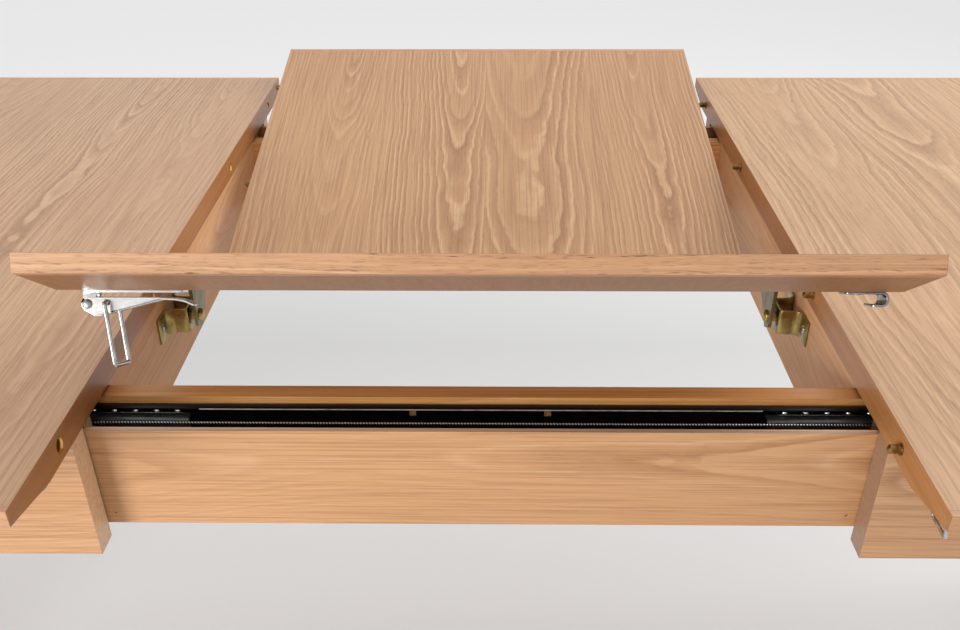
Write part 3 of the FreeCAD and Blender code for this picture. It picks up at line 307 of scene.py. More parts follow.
# satin nickel: a soft grey spot of light on the dome
nickelRivet = makeMetal("satinNickelRivet", {"colour": "A9A7A4", "worn": "8C8A87", "rough": 0.28})
# turned brass: warm yellow, browner where handled
brass = makeMetal("turnedBrass", {"colour": "C79A4B", "worn": "9B7233", "rough": 0.25})
# brass in a bush: pale gold, so that the flared mouth stands out from its dark bore
bushBrass = makeMetal("turnedBrassBush", {"colour": "E6C078", "worn": "C89C55", "rough": 0.3})
# brass that has aged in the open: dull gold with dark brown clouds
agedBrass = makeMetal("agedBrass", {"colour": "A5824C", "worn": "5E4A2E", "rough": 0.3})
# brass plate over steel: a thin greenish yellow
rivetBrass = makeMetal("brassPlatedRivet", {"colour": "C4AC66", "worn": "A48B4F", "rough": 0.3})
# bronzed steel: greenish brown with a dull metal shine, darker on the arms
bronzed = makeMetal("bronzedSteel", {"colour": "A3905C", "worn": "83703F", "rough": 0.28})
armSteel = makeMetal("dullBronzedSteel", {"colour": "7F7452", "worn": "6A6045", "rough": 0.34})
# moulded nylon: matt black, no metal in its shine
nylon = makeMetal("blackNylon", {"colour": "1A1A1A", "worn": "242424", "rough": 0.5, "metallic": 0.0})
# pressed wool felt: brown and fuzzy, no shine
felt = makeMetal("brownFelt", {"colour": "4A4038", "worn": "5A4E44", "rough": 0.9, "metallic": 0.0,
                               "bump": 0.6})


# galvanised wire rope: its strands show as slanting bright and dark bars, a little coarser than real ones;
# the dark bars are painted shade in the grooves between the strands
def makeRope(name, look):
    material, tree, shader = newMaterial(name)
    here = addNode(tree, "TexCoord", give="Object")
    # the loop's four runs folded onto one, then the way round that run
    centred = addNode(tree, "VectorMath", {0: here, 1: (0, 0, look["middle"] * mm)}, operation="SUBTRACT")
    folded = addNode(tree, "VectorMath", {0: centred}, operation="ABSOLUTE")
    fromRun = addNode(tree, "VectorMath", {0: folded, 1: (0, look["line"] * mm, look["half"] * mm)},
                      operation="SUBTRACT")
    aside = addNode(tree, "SeparateXYZ", {0: fromRun}, give=1)
    above = addNode(tree, "SeparateXYZ", {0: fromRun}, give=2)
    along = addNode(tree, "SeparateXYZ", {0: here}, give=0)
    angle = addNode(tree, "Math", {0: above, 1: aside}, operation="ARCTAN2")
    wound = addNode(tree, "Math", {0: along, 1: math.tau * look["strands"] / (look["lay"] * mm), 2: angle},
                    operation="MULTIPLY_ADD")
    wave = addNode(tree, "Math", {0: wound}, operation="SINE")
    bar = addNode(tree, "MapRange", {0: wave, 1: -0.7, 2: 0.8})
    # the groove colour is painted shade between the strands
    tone = addNode(tree, "Mix", {0: bar, 6: linear(look["groove"]), 7: linear(look["crown"])}, give=2,
                   data_type="RGBA")
    tree.links.new(tone, shader.inputs["Base Color"])
    shader.inputs["Metallic"].default_value = 1.0
    shader.inputs["Roughness"].default_value = look["rough"]
    bump = addNode(tree, "Bump", {"Height": bar, "Strength": 0.6, "Distance": look["deep"] * mm})
    tree.links.new(bump, shader.inputs["Normal"])
    return material


wireRope = makeRope("galvanisedWireRope", {"middle": 703.5, "half": 14.5, "line": 300.7, "lay": 13.0,
                                           "strands": 6, "deep": 0.3, "rough": 0.25, "groove": "202122",
                                           "crown": "E2E4E5"})

finishes = {
    leftOak: ("left_top",), rightOak: ("right_top",),
    leafFrontOak: ("leaf_front_panel",), leafRearOak: ("leaf_rear_panel",),
    edgeOak: ("left_lippings", "right_lippings", "leaf_front_lipping", "leaf_rear_lipping"),
    apronOak: ("left_aprons", "right_aprons"), fasciaOak: ("outer_fascias",),
    # the cross rails' pale oak is painted light
    innerOak: ("inner_rails",), crossOakPaintedBounce: ("cross_rails", "cross_bearers"),
    runnerOak: ("slot_floors", "left_runners", "right_runners"),
    legOak: ("left_legs", "right_legs", "left_corner_blocks", "right_corner_blocks"),
    blackSteel: ("slide_channels", "left_slide_members", "right_slide_members"),
    ballSteel: ("left_slide_balls", "right_slide_balls"), wireRope: ("sync_ropes",),
    brightSteel: ("left_ball_cages", "right_ball_cages", "fascia_pins", "bracket_screws", "pulley_pins",
                  "left_slide_spacers", "right_slide_spacers"),
    # the hooks' darker nickel is a painted dark reflection
    hookNickelPaintedDark: ("leaf_hook", "left_hook"),
    nickel: ("leaf_latch_base", "leaf_latch_lever", "leaf_latch_bail", "right_latch_base",
             "right_latch_lever", "right_latch_bail"),
    brass: ("left_alignment_sockets", "right_alignment_pins", "leaf_front_pins", "leaf_front_sockets",
            "leaf_rear_pins", "leaf_rear_sockets", "leaf_hinge_quadrants", "left_rope_clamps",
            "right_rope_clamps"),
    bronzed: ("pivot_brackets", "pivot_rivets"), armSteel: ("swing_arms",),
    nylon: ("left_front_pulley", "left_rear_pulley", "right_front_pulley", "right_rear_pulley"),
    felt: ("left_glides", "right_glides"),
}
for material, names in finishes.items():
    for name in names:
        for slot in nodes[name].material_slots:
            slot.material = material
print("finishes assigned")


def showMesh(name, data):
    piece = bpy.data.objects.new(name, data)
    bpy.context.scene.collection.objects.link(piece)
    return piece


def bakedMesh(thing):
    # the mesh that an object's modifiers or its wire thickness give
    return bpy.data.meshes.new_from_object(thing.evaluated_get(bpy.context.evaluated_depsgraph_get()))


def finishPiece(name, bm, material, body, replaced=(), turn=None, smooth=40, sheet=0, arris=0.0):
    # bm is in millimetres; turn moves it from the flat leaf to where the leaf stands
    bmesh.ops.remove_doubles(bm, verts=bm.verts[:], dist=0.001)
    bmesh.ops.recalc_face_normals(bm, faces=bm.faces[:])
    bmesh.ops.scale(bm, vec=(mm, mm, mm), verts=bm.verts[:])
    if turn:
        bmesh.ops.transform(bm, matrix=turn, verts=bm.verts[:])
    data = bpy.data.meshes.new(name)
    bm.to_mesh(data)
    bm.free()
    data.shade_smooth()
    data.set_sharp_from_angle(angle=math.radians(smooth))
    data.materials.append(material)
    piece = showMesh(name, data)
    if sheet:
        wall = piece.modifiers.new("wall", "SOLIDIFY")
        wall.thickness, wall.offset, wall.use_even_offset = sheet * mm, 0.0, True
    if arris:
        soft = piece.modifiers.new("arris", "BEVEL")
        soft.width, soft.segments = arris * mm, 2
        soft.limit_method, soft.angle_limit = "ANGLE", math.radians(38)
        soft.use_clamp_overlap = True
    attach(piece, body)
    if replaced:
        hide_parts(*replaced)
    return piece


def cutAway(piece, bm):
    # takes the shape in bm, in millimetres, out of a piece and keeps the result as its mesh
    bmesh.ops.scale(bm, vec=(mm, mm, mm), verts=bm.verts[:])
    bmesh.ops.recalc_face_normals(bm, faces=bm.faces[:])
    data = bpy.data.meshes.new("cutter")
    bm.to_mesh(data)
    bm.free()
    cutter = showMesh("cutter", data)
    hole = piece.modifiers.new("hole", "BOOLEAN")
    hole.operation, hole.solver, hole.object = "DIFFERENCE", "EXACT", cutter
    shaped = bakedMesh(piece)
    piece.modifiers.clear()
    piece.data = shaped
    bpy.data.objects.remove(cutter)
    bpy.data.meshes.remove(data)


def foldSheet(bm, corners, run, bends):
    # a sheet through the corners, stretched along run, each fold rounded to its own radius
    verts = [bm.verts.new(corner) for corner in corners]
    edges = [bm.edges.new(pair) for pair in zip(verts, verts[1:])]
    made = bmesh.ops.extrude_edge_only(bm, edges=edges)["geom"]
    bmesh.ops.translate(bm, verts=[g for g in made if isinstance(g, bmesh.types.BMVert)], vec=run)
    folds = [(next(e for e in vert.link_edges if len(e.link_faces) == 2), radius)
             for vert, radius in zip(verts[1:-1], bends) if radius]
    for fold, radius in folds:
        bmesh.ops.bevel(bm, geom=[fold], offset=radius, segments=6, profile=0.5, affect="EDGES", material=-1)


def roundCorners(bm, corners, radius, segments=4):
    bmesh.ops.bevel(bm, geom=corners, offset=radius, segments=segments, profile=0.5, affect="VERTICES",
                    material=-1)


def pierce(bm, low, high, corner=0.0):
    # opens a rectangular hole in a sheet that stands along X and Z, its corners rounded
    for axis, along in ((0, (1, 0, 0)), (2, (0, 0, 1))):
        for bound in (low, high):
            bmesh.ops.bisect_plane(bm, geom=bm.verts[:] + bm.edges[:] + bm.faces[:], plane_co=bound,
                                   plane_no=along)
    inside = [f for f in bm.faces if all(a < c < b for a, b, c in zip(low, high, f.calc_center_median()))]
    bmesh.ops.delete(bm, geom=inside, context="FACES")
    if corner:
        slack = 0.01
        nooks = [v for v in bm.verts if v.is_boundary and low[1] < v.co.y < high[1]
                 and min(abs(v.co.x - low[0]), abs(v.co.x - high[0])) < slack
                 and min(abs(v.co.z - low[2]), abs(v.co.z - high[2])) < slack]
        roundCorners(bm, nooks, corner)


def standAlong(centre, axis):
    # the move that takes an upright shape to its centre and leans it along the axis
    turn = Vector((0, 0, 1)).rotation_difference(Vector(axis)).to_matrix().to_4x4()
    return Matrix.Translation(centre) @ turn


def addDome(bm, centre, axis, radius, high, foot=0.0):
    # a domed head standing on its foot
    made = bmesh.ops.create_uvsphere(bm, u_segments=28, v_segments=14, radius=radius)["verts"]
    for v in made:
        v.co.z = foot + v.co.z * high / radius if v.co.z > 0 else 0.0
    bmesh.ops.transform(bm, matrix=standAlong(centre, axis), verts=made)


def addRod(bm, centre, axis, radius, long, sides=20):
    made = bmesh.ops.create_cone(bm, cap_ends=True, segments=sides, radius1=radius, radius2=radius,
                                 depth=long)["verts"]
    bmesh.ops.transform(bm, matrix=standAlong(centre, axis), verts=made)


def addBlock(bm, low, high):
    made = bmesh.ops.create_cube(bm, size=1)["verts"]
    bmesh.ops.scale(bm, vec=[b - a for a, b in zip(low, high)], verts=made)
    bmesh.ops.translate(bm, vec=[(a + b) / 2 for a, b in zip(low, high)], verts=made)


# hat-shaped strips that carry the leaf's pivots, 2 mm plated steel bent round
bracket = {"wall": 271.5, "out": 20.5, "thick": 2.0, "half": 13, "foot": 22, "bend": 8.0, "nose": 2.6,
           "high": 22}
for side, sign in (("left", -1), ("right", 1)):
    b = bracket
    wall, face = b["wall"] - b["thick"] / 2, b["wall"] - b["out"] + b["thick"] / 2
    half, end = b["half"] - b["thick"] / 2, b["half"] + b["foot"]
    path = [(wall, -end), (wall, -half), (face, -half), (face, half), (wall, half), (wall, end)]
    bm = bmesh.new()
    foldSheet(bm, [(sign * x, pivotY + y, pivotZ - b["high"] / 2) for x, y in path], (0, 0, b["high"]),
              (b["bend"], b["nose"], b["nose"], b["bend"]))
    finishPiece(side + "PivotBracket", bm, bronzed, "centre_frame", sheet=b["thick"], arris=0.35,
                replaced=("pivot_brackets",))

# domed rivets through the swing arms, and pan-head screws with a cross recess
rivet = {"arm": 244.2, "radius": 5.4, "dome": 3.2, "foot": 0.4, "shank": 3.0, "collar": 4.5,
         "collarFrom": 247.8, "collarTo": 251.0, "tailAt": 253.0, "tail": 4.5, "tailDome": 0.9,
         "tailFoot": 0.5, "shankPast": 0.4}
screw = {"face": 269.5, "radius": 3.6, "dome": 1.2, "foot": 0.3, "shank": 1.75, "long": 13, "cross": 0.8,
         "reach": 4.2, "crossFrom": 0.5, "crossTo": 3.0, "offset": 24, "turned": (20, 55)}
for side, sign in (("left", -1), ("right", 1)):
    r = rivet
    bm = bmesh.new()
    addDome(bm, (sign * r["arm"], pivotY, pivotZ), (-sign, 0, 0), r["radius"], r["dome"], r["foot"])
    for radius, start, stop in ((r["shank"], r["arm"], r["tailAt"] + r["shankPast"]),
                                (r["collar"], r["collarFrom"], r["collarTo"])):
        addRod(bm, (sign * (start + stop) / 2, pivotY, pivotZ), (1, 0, 0), radius, stop - start)
    addDome(bm, (sign * r["tailAt"], pivotY, pivotZ), (sign, 0, 0), r["tail"], r["tailDome"], r["tailFoot"])
    finishPiece(side + "PivotRivet", bm, rivetBrass, "centre_frame", replaced=("pivot_rivets",))
    s = screw
    for n, step in enumerate((-1, 1)):
        y = pivotY + step * s["offset"]
        seat = (sign * s["face"], y, pivotZ)
        bm = bmesh.new()
        addDome(bm, seat, (-sign, 0, 0), s["radius"], s["dome"], s["foot"])
        head = finishPiece("%sBracketScrew%d" % (side, n + 1), bm, brightSteel, "centre_frame",
                           replaced=("bracket_screws",))
        near, far = sorted((sign * (s["face"] - s["crossFrom"]), sign * (s["face"] - s["crossTo"])))
        for wide, tall in ((s["cross"] / 2, s["reach"] / 2), (s["reach"] / 2, s["cross"] / 2)):
            bm = bmesh.new()
            addBlock(bm, (near, y - wide, pivotZ - tall), (far, y + wide, pivotZ + tall))
            bmesh.ops.rotate(bm, cent=seat, matrix=Matrix.Rotation(math.radians(s["turned"][n]), 3, "X"),
                             verts=bm.verts[:])
            cutAway(head, bm)
        # the shank joins once the head is cut, because the cut needs one closed shape
        bm = bmesh.new()
        bm.from_mesh(head.data)
        addRod(bm, Vector((sign * (s["face"] + s["long"] / 2), y, pivotZ)) * mm, (1, 0, 0), s["shank"] * mm,
               s["long"] * mm)
        bm.to_mesh(head.data)
        bm.free()
print("pivot brackets, rivets and screws made")

# toggle latches: slotted base plate, channel-shaped lever with a round head, bent wire bail
latch = {"under": 734.0, "pinDrop": 8.3, "plateFrom": -3.2, "plateLong": 60, "plateWide": 16,
         "plateThick": 1.5, "plateCorner": 3.0, "slotFrom": 14, "slotTo": 34, "slotWide": 4.4,
         "leverWide": 14.0, "wall": 1.2, "head": 4.3, "headCorner": 1.6, "deep": 7.0, "long": 63.3,
         "taperFrom": 0.7, "taper": 0.35, "tipCorner": 2.6, "pin": 1.45, "pinHole": 1.6, "pinHead": 2.9,
         "pinDome": 0.95, "pinFoot": 0.25, "earOut": 5.4, "earThick": 1.2, "bailAt": 11.7, "bailRise": 0.7,
         "bailLong": 37.0, "bailWide": 23.0, "wire": 1.4, "hole": 2.1, "knee": 3.2, "elbow": 2.4}
latchSeats = {
    "leaf": {"pin": -232.3, "line": -383.0, "lean": 6.5, "turn": frontTurn,
             "bodies": ("leaf_front", "leaf_lever", "leaf_bail")},
    "right": {"pin": 284.2, "line": -378.5, "lean": 10.0, "turn": None,
              "bodies": ("right_half", "right_lever", "right_bail")},
}


def makeLatch(name, seat):
    g = latch
    pinZ = g["under"] - g["pinDrop"]
    baseBody, leverBody, bailBody = seat["bodies"]

    def at(x, y, z):
        # a place on the latch, in millimetres from the middle of its pin
        return Vector((seat["pin"] + x, seat["line"] + y, pinZ + z))

    def layOnLeaf(piece):
        # a piece is cut while it lies flat
        if seat["turn"]:
            piece.data.transform(seat["turn"])

    # base plate with a long slot, two ears between the lever's cheeks, and the pin with its domed heads
    top, half, slot = g["pinDrop"], g["plateWide"] / 2, g["slotWide"] / 2
    bm = bmesh.new()
    addBlock(bm, at(g["plateFrom"], -half, top - g["plateThick"]),
             at(g["plateFrom"] + g["plateLong"], half, top))
    uprights = [e for e in bm.edges if abs((e.verts[0].co - e.verts[1].co).z) > 1]
    bmesh.ops.bevel(bm, geom=uprights, offset=g["plateCorner"], segments=4, profile=0.5, affect="EDGES",
                    material=-1)
    base = finishPiece(name + "LatchPlate", bm, nickel, baseBody, arris=0.25)
    # the slot stops just short of the wood
    cutter = bmesh.new()
    addBlock(cutter, at(g["slotFrom"], -slot, top - 2 * g["plateThick"]), at(g["slotTo"], slot, top - 0.02))
    cutAway(base, cutter)
    layOnLeaf(base)
    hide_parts(name + "_latch_base")
    h = g["head"]
    ear = [(-0.75 * h, top - 0.7), (1.3 * h, top - 0.7), (0.8 * h, -1.7), (0, -3.2), (-0.7 * h, -1.7)]
    bm = bmesh.new()
    for way in (-1, 1):
        side = bm.faces.new([bm.verts.new(at(x, way * (g["earOut"] - g["earThick"] / 2), z)) for x, z in ear])
        roundCorners(bm, [v for v in side.verts if v.co.z < pinZ], g["headCorner"])
    finishPiece(name + "LatchEars", bm, nickel, baseBody, turn=seat["turn"], sheet=g["earThick"], arris=0.2)
    bm = bmesh.new()
    out = g["leverWide"] / 2 + 0.1
    addRod(bm, at(0, 0, 0), (0, 1, 0), g["pin"], 2 * out)
    for way in (-1, 1):
        addDome(bm, at(0, way * out, 0), (0, way, 0), g["pinHead"], g["pinDome"], g["pinFoot"])
    finishPiece(name + "LatchPin", bm, nickelRivet, baseBody, turn=seat["turn"])

    # lever: two cheeks pierced for the pin and the bail, and the web between them that runs into the tongue;
    # both outlines are in shares of the lever's length, of its depth and of its head's radius
    d, long, wide, middle = g["deep"], g["long"], g["leverWide"] / 2, g["wall"] / 2
    cheek = [(0.06 * long, -d), (0.118 * long, -d), (0.41 * long, -0.31 * d), (0.7 * long, 0.6 * h),
             (0.684 * long, 0.88 * h), (-0.3 * h, 0.88 * h), (-0.84 * h, 0.56 * h), (-h, -0.14 * h),
             (-0.47 * h, -0.59 * d)]
    web = [(0.05 * long, middle - d), (0.118 * long, middle - d), (0.41 * long, middle - 0.31 * d),
           (0.7 * long, 0.6 * h + middle), (0.84 * long, 0.66 * h), (0.93 * long, 0.33 * h),
           (0.99 * long, -0.2 * h)]
    bm = bmesh.new()
    for way in (-1, 1):
        side = bm.faces.new([bm.verts.new(at(x, way * wide, z)) for x, z in cheek])
        heads = [v for v in side.verts if v.co.x < seat["pin"] + 5 and v.co.z != pinZ - d]
        roundCorners(bm, heads, g["headCorner"])
    made = bmesh.ops.extrude_face_region(bm, geom=bm.faces[:])["geom"]
    for v in made:
        if isinstance(v, bmesh.types.BMVert):
            v.co.y += g["wall"] if v.co.y < seat["line"] else -g["wall"]
    cheeks = finishPiece(name + "LatchCheeks", bm, nickel, leverBody, smooth=30)
    for x, z, radius in ((g["bailAt"], g["bailRise"], g["hole"]), (0, 0, g["pinHole"])):
        cutter = bmesh.new()
        addRod(cutter, at(x, 0, z), (0, 1, 0), radius, 2 * g["leverWide"], 24)
        cutAway(cheeks, cutter)
    layOnLeaf(cheeks)
    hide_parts(name + "_latch_lever")
    bm = bmesh.new()
    foldSheet(bm, [at(x, -wide, z) for x, z in web], (0, 2 * wide, 0), (0, 0, 0, 3.0, 2.0, 1.5))
    for v in bm.verts:
        past = (v.co.x - seat["pin"]) / long - g["taperFrom"]
        if past > 0:
            narrower = g["taper"] * (past / (1 - g["taperFrom"])) ** 2
            v.co.y = seat["line"] + (v.co.y - seat["line"]) * (1 - narrower)
    roundCorners(bm, [v for v in bm.verts if v.co.x > seat["pin"] + 0.985 * long], g["tipCorner"], 5)
    finishPiece(name + "LatchLever", bm, nickel, leverBody, turn=seat["turn"], sheet=g["wall"], arris=0.22,
                smooth=50)

    # bail: one wire, its ends turned in through the cheeks, leaning a little from where it hangs
    bail, inner, drop = g["bailWide"] / 2, g["leverWide"] / 2 - g["wall"] - 0.2, g["bailLong"]
    lean = Matrix.Rotation(math.radians(-seat["lean"]), 4, "Y")
    route = [(0, -inner, 0), (0, g["elbow"] - bail, 0), (0, -bail, 0.2), (0, -bail, -g["elbow"]),
             (0, -bail, -drop / 2), (0, -bail, g["knee"] - drop), (0, -bail, -drop),
             (0, g["knee"] - bail, -drop)]
    route += [(x, -y, z) for x, y, z in reversed(route)]
    curve = bpy.data.curves.new(name + "Wire", "CURVE")
    curve.dimensions, curve.bevel_depth, curve.bevel_resolution = "3D", g["wire"] * mm, 5
    curve.resolution_u, curve.use_fill_caps = 8, True
    spline = curve.splines.new("NURBS")
    spline.points.add(len(route) - 1)
    hinge = at(g["bailAt"], 0, g["bailRise"])
    for point, place in zip(spline.points, route):
        point.co = (*(hinge + lean @ Vector(place)) * mm, 1)
    spline.order_u, spline.use_endpoint_u = 3, True
    holder = showMesh(name + "Wire", curve)
    data = bakedMesh(holder)
    bpy.data.objects.remove(holder)
    bpy.data.curves.remove(curve)
    data.shade_smooth()
    data.materials.clear()
    data.materials.append(nickelWire)
    wire = showMesh(name + "LatchBail", data)
    layOnLeaf(wire)
    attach(wire, bailBody)
    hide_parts(name + "_latch_bail")


for name, seat in latchSeats.items():
    makeLatch(name, seat)
print("toggle latches made")

# where the tops meet the leaf: the height and the lines of the pins, and the edges they stand in
meeting = {"height": 744.5, "lines": (-368, -149, 149, 368), "halfEdge": 268.0, "leafEdge": 248.5}

# hooks: flat plates whose ends curl down and back, each held by two countersunk screws
hook = {"under": 734.0, "inset": 5.0, "long": 26.0, "deep": 9.4, "lip": 10.0, "lipRise": 0.6, "thick": 1.6,
        "wide": 16.0, "curl": 3.4, "corner": 2.5, "screwBack": 18, "screwApart": 4.2, "screwHead": 2.4,
        "screwDome": 0.5, "screwFoot": 0.1}
hookSeats = {"leaf": {"edge": meeting["leafEdge"], "line": -378.5, "turn": frontTurn, "body": "leaf_front"},
             "left": {"edge": -meeting["halfEdge"], "line": -383.0, "turn": None, "body": "left_half"}}
for name, seat in hookSeats.items():
    end, middle = seat["edge"] - hook["inset"], hook["thick"] / 2
    top, low = hook["under"] - middle, hook["under"] - hook["deep"] + middle
    path = [(end - hook["long"], top), (end - middle, top), (end - middle, low),
            (end - hook["lip"], low + hook["lipRise"])]
    bm = bmesh.new()
    foldSheet(bm, [(x, seat["line"] - hook["wide"] / 2, z) for x, z in path], (0, hook["wide"], 0),
              (hook["curl"], hook["curl"]))
    roundCorners(bm, [v for v in bm.verts if len(v.link_edges) == 2], hook["corner"])
    finishPiece(name + "Hook", bm, hookNickelPaintedDark, seat["body"], turn=seat["turn"], sheet=hook["thick"],
                arris=0.3, replaced=(name + "_hook",))
    bm = bmesh.new()
    for way in (-1, 1):
        at = (end - hook["screwBack"], seat["line"] + way * hook["screwApart"], hook["under"] - hook["thick"])
        addDome(bm, at, (0, 0, -1), hook["screwHead"], hook["screwDome"], hook["screwFoot"])
    finishPiece(name + "HookScrews", bm, brightSteel, seat["body"], turn=seat["turn"])
print("hooks made")

# ball slides: outer channels, open towards the inner members, with two square holes in the web
# the last two entries size the rods that carry the painted highlight along the lips
slide = {"rail": 285.7, "deep": 8.5, "top": 726.0, "high": 45.0, "wall": 1.5, "half": 600.1, "bend": 2.2,
         "holeAt": 48.4, "holeDrop": 8.3, "hole": 5.0, "highlightHalf": 199.0, "highlightRadius": 0.6}
for end, way in (("front", -1), ("rear", 1)):
    s = slide
    middle = s["wall"] / 2
    low, top = s["top"] - s["high"] + middle, s["top"] - middle
    back, face = s["rail"] + middle, s["rail"] + s["deep"]
    path = [(face, top), (back, top), (back, low), (face, low)]
    bm = bmesh.new()
    foldSheet(bm, [(-s["half"], way * y, z) for y, z in path], (2 * s["half"], 0, 0), (s["bend"], s["bend"]))
    for side in (-1, 1):
        x, z = side * s["holeAt"], s["top"] - s["holeDrop"]
        y = sorted((way * (s["rail"] - 1), way * (s["rail"] + 3)))
        pierce(bm, (x - s["hole"] / 2, y[0], z - s["hole"] / 2), (x + s["hole"] / 2, y[1], z + s["hole"] / 2))
    finishPiece(end + "SlideChannel", bm, blackSteel, "centre_frame", sheet=s["wall"], arris=0.3, smooth=50,
                replaced=("slide_channels",))
    # between the inner members the lips carry a painted highlight: thin rods of bright steel along their
    # edges
    bm = bmesh.new()
    for z in (top, low):
        addRod(bm, (0, way * face, z), (1, 0, 0), s["highlightRadius"], 2 * s["highlightHalf"], 10)
    finishPiece(end + "SlideLipHighlights", bm, lipHighlightSteel, "centre_frame")

# inner members: flanged strips with a pressed ridge and oval holes
member = {"rear": 289.3, "face": 297.7, "low": 687.7, "high": 719.3, "wall": 1.5, "end": 581.0, "bend": 1.8,
          "from": {"left": 207.0, "right": 203.0}, "ridgeAt": 711.0, "ridge": 1.5, "ridgeFoot": (-3.4, 2.4),
          "ridgeTop": (-2.0, 1.0), "ridgeBend": 0.8, "ovalInset": 28, "ovalPitch": 31, "oval": 2.1,
          "ovalEnd": 1.9}
for side, sign in (("left", -1), ("right", 1)):
    for end, way in (("front", -1), ("rear", 1)):
        m = member
        middle = m["wall"] / 2
        web, low, top, near = m["face"] - middle, m["low"] + middle, m["high"] - middle, m["from"][side]
        pressed, soft = web - m["ridge"], m["ridgeBend"]
        path = [(m["rear"], low), (web, low), (web, m["ridgeAt"] + m["ridgeFoot"][0]),
                (pressed, m["ridgeAt"] + m["ridgeTop"][0]), (pressed, m["ridgeAt"] + m["ridgeTop"][1]),
                (web, m["ridgeAt"] + m["ridgeFoot"][1]), (web, top), (m["rear"], top)]
        bm = bmesh.new()
        foldSheet(bm, [(sign * near, way * y, z) for y, z in path], (sign * (m["end"] - near), 0, 0),
                  (m["bend"], soft, soft, soft, soft, m["bend"]))
        for n in range(2):
            x, z = sign * (near + m["ovalInset"] + m["ovalPitch"] * n), (m["low"] + m["high"]) / 2
            y = sorted((way * (web - 0.5), way * (web + 0.5)))
            pierce(bm, (x - 2 * m["oval"], y[0], z - m["oval"]), (x + 2 * m["oval"], y[1], z + m["oval"]),
                   m["ovalEnd"])
        finishPiece("%s%sSlideMember" % (side, end.title()), bm, satinBlackSteel, side + "_half",
                    sheet=m["wall"], arris=0.3, smooth=50, replaced=(side + "_slide_members",))
print("ball slides made")


def spinOutline(outline, edge, y, steps, closed=False):
    # spins an outline, given along a pin's line and out from it, all the way round that line
    bm = bmesh.new()
    verts = [bm.verts.new((edge + x, y, meeting["height"] + r)) for x, r in outline]
    ends = verts[1:] + verts[:1] if closed else verts[1:]
    edges = [bm.edges.new(pair) for pair in zip(verts, ends)]
    bmesh.ops.spin(bm, geom=verts + edges, cent=(edge, y, meeting["height"]), axis=(1, 0, 0), angle=math.tau,
                   steps=steps, use_merge=True)
    return bm


# brass alignment pins: turned, with a groove behind the rounded nose and a collar against the edge
peg = {"radius": 3.1, "root": 3.0, "out": 9.0, "collar": 4.2, "collarLong": 0.8, "groove": 2.9,
       "grooveAt": 2.6, "grooveHalf": 0.8, "nose": 1.6, "middle": 0.02}


def makePeg(name, edge, y, body, node, turn=None):
    p = peg
    radius, tip, groove = p["radius"], -p["out"], -p["grooveAt"]
    outline = [(p["root"], p["middle"]), (p["root"], radius), (0.0, radius), (0.0, p["collar"]),
               (-p["collarLong"], p["collar"]), (-p["collarLong"], radius),
               (groove + p["grooveHalf"], radius), (groove, p["groove"]), (groove - p["grooveHalf"], radius),
               (tip + p["nose"], radius), (tip + 1.0, radius * 0.72), (tip + 0.25, radius * 0.4),
               (tip, p["middle"])]
    finishPiece(name, spinOutline(outline, edge, y, 28), agedBrass, body, turn=turn, smooth=35,
                replaced=(node,))


# brass bushes the pins slide into: a flared mouth that catches the light, then a straight bore
bush = {"outer": 5.3, "mouth": 5.15, "bore": 4.3, "flare": 1.4, "round": 0.25, "deep": 14.0, "arris": 0.05}


def makeBush(name, edge, y, body, node, turn=None):
    b = bush
    outline = [(-b["arris"], b["outer"]), (0.0, b["outer"] - b["arris"]), (0.0, b["mouth"]),
               (-b["round"], b["mouth"] - 0.2), (-b["flare"], b["bore"] + b["arris"]),
               (-b["flare"] - 0.3, b["bore"]), (-b["deep"], b["bore"]), (-b["deep"], b["outer"])]
    finishPiece(name, spinOutline(outline, edge, y, 32, closed=True), bushBrass, body, turn=turn, smooth=50,
                replaced=(node,))


# pins in the leaf's left edge and in the right top, bushes in the other two edges, two to a leaf half
for make, word, half, halfEdge, leafEdge, halfNode, leafNode in (
    (makePeg, "Pin", "right", meeting["halfEdge"], -meeting["leafEdge"], "alignment_pins", "pins"),
    (makeBush, "Bush", "left", -meeting["halfEdge"], meeting["leafEdge"], "alignment_sockets", "sockets")):
    for n, y in enumerate(meeting["lines"]):
        make("%sAlignment%s%d" % (half, word, n + 1), halfEdge, y, half + "_half", half + "_" + halfNode)
        part, turn = ("front", frontTurn) if y < 0 else ("rear", rearTurn)
        make("leaf%s%s%d" % (part.title(), word, n % 2 + 1), leafEdge, y, "leaf_" + part,
             "leaf_%s_%s" % (part, leafNode), turn)
print("alignment pins and bushes made")

# floor, backdrop and light
studio = {"floorHalf": 9.0, "floorRough": 0.7, "bounce": 0.45, "reach": 5.0,
          "tones": [(0.0, 0.76), (0.06, 0.77), (0.22, 0.6), (0.5, 0.84), (0.86, 0.84)],
          "sky": [(0.0, 0.4), (0.25, 0.45), (0.6, 1.0)], "skyLevel": 1.05, "backdrop": 0.78}
lamps = {"frontLamp": {"place": (-1.1, -1.45, 0.88), "aim": (-0.3, -0.3, 0.65), "size": 0.6, "energy": 18},
         "windowLamp": {"place": (2.3, 1.1, 2.2), "aim": (0.2, 0, 0.75), "size": 1.6, "energy": 34}}


def seenRays(tree):
    # one for what the camera, a reflection or a glass sees, nothing for bounced light
    seen = addNode(tree, "LightPath", give="Is Camera Ray")
    for ray in ("Is Glossy Ray", "Is Transmission Ray"):
        seen = addNode(tree, "Math", {0: seen, 1: addNode(tree, "LightPath", give=ray)},
                       operation="ADD", use_clamp=True)
    return seen


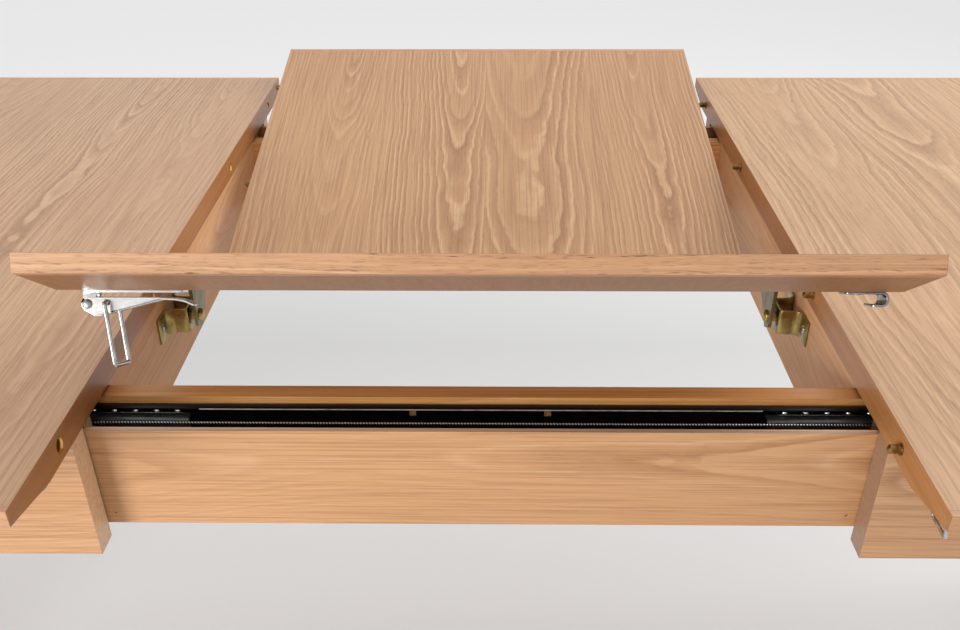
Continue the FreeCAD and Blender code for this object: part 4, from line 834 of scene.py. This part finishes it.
# painted floor: matt and pale, its tone changing with the distance so that it runs into the backdrop
bm = bmesh.new()
bmesh.ops.create_grid(bm, x_segments=1, y_segments=1, size=studio["floorHalf"])
data = bpy.data.meshes.new("studioFloor")
bm.to_mesh(data)
bm.free()
floor = showMesh("studioFloor", data)
material, tree, shader = newMaterial("paintedFloor")
away = addNode(tree, "SeparateXYZ", {0: addNode(tree, "TexCoord", give="Object")}, give=1)
away = addNode(tree, "Math", {0: away, 1: studio["reach"]}, operation="DIVIDE")
tone = addNode(tree, "ValToRGB", {0: away}, studio["tones"])
tone = addNode(tree, "Mix", {0: seenRays(tree), 6: (studio["bounce"],) * 3 + (1,), 7: tone}, give=2,
               data_type="RGBA")
tree.links.new(tone, shader.inputs["Base Color"])
shader.inputs["Roughness"].default_value = studio["floorRough"]
data.materials.append(material)

world = bpy.data.worlds.new("studioWorld")
world.use_nodes = True
tree = world.node_tree
upward = addNode(tree, "SeparateXYZ", {0: addNode(tree, "TexCoord", give="Generated")}, give=2)
sky = addNode(tree, "ValToRGB", {0: upward}, studio["sky"])
sky = addNode(tree, "Mix", {0: seenRays(tree), 6: sky, 7: (studio["backdrop"],) * 3 + (1,)}, give=2,
              data_type="RGBA")
tree.links.new(sky, tree.nodes["Background"].inputs[0])
tree.nodes["Background"].inputs[1].default_value = studio["skyLevel"]
bpy.context.scene.world = world

for name, lamp in lamps.items():
    data = bpy.data.lights.new(name, "AREA")
    data.size, data.energy = lamp["size"], lamp["energy"]
    light = bpy.data.objects.new(name, data)
    light.location = lamp["place"]
    light.rotation_euler = (Vector(lamp["aim"]) - Vector(lamp["place"])).to_track_quat("-Z", "Y").to_euler()
    bpy.context.scene.collection.objects.link(light)

# camera: a normal lens above the front edge, aimed down the middle, with its frame moved up by a shift
lens = {"place": (0.0084, -0.902, 1.1147), "down": 35.5, "yaw": -0.8, "roll": 0.2, "focalPixels": 1019.8,
        "riseOfCentre": 146.0, "wide": 960, "sensor": 36.0}
data = bpy.data.cameras.new("camera")
data.sensor_width = lens["sensor"]
data.lens = lens["focalPixels"] * lens["sensor"] / lens["wide"]
data.shift_y = lens["riseOfCentre"] / lens["wide"]
camera = bpy.data.objects.new("camera", data)
pitch, yaw, roll = (math.radians(lens[k]) for k in ("down", "yaw", "roll"))
camera.matrix_world = (Matrix.Translation(lens["place"]) @ Matrix.Rotation(-yaw, 4, "Z")
                       @ Matrix.Rotation(math.pi / 2 - pitch, 4, "X") @ Matrix.Rotation(-roll, 4, "Z"))
bpy.context.scene.collection.objects.link(camera)
bpy.context.scene.camera = camera
bpy.context.scene.view_settings.view_transform = "Standard"
print("camera and light placed")
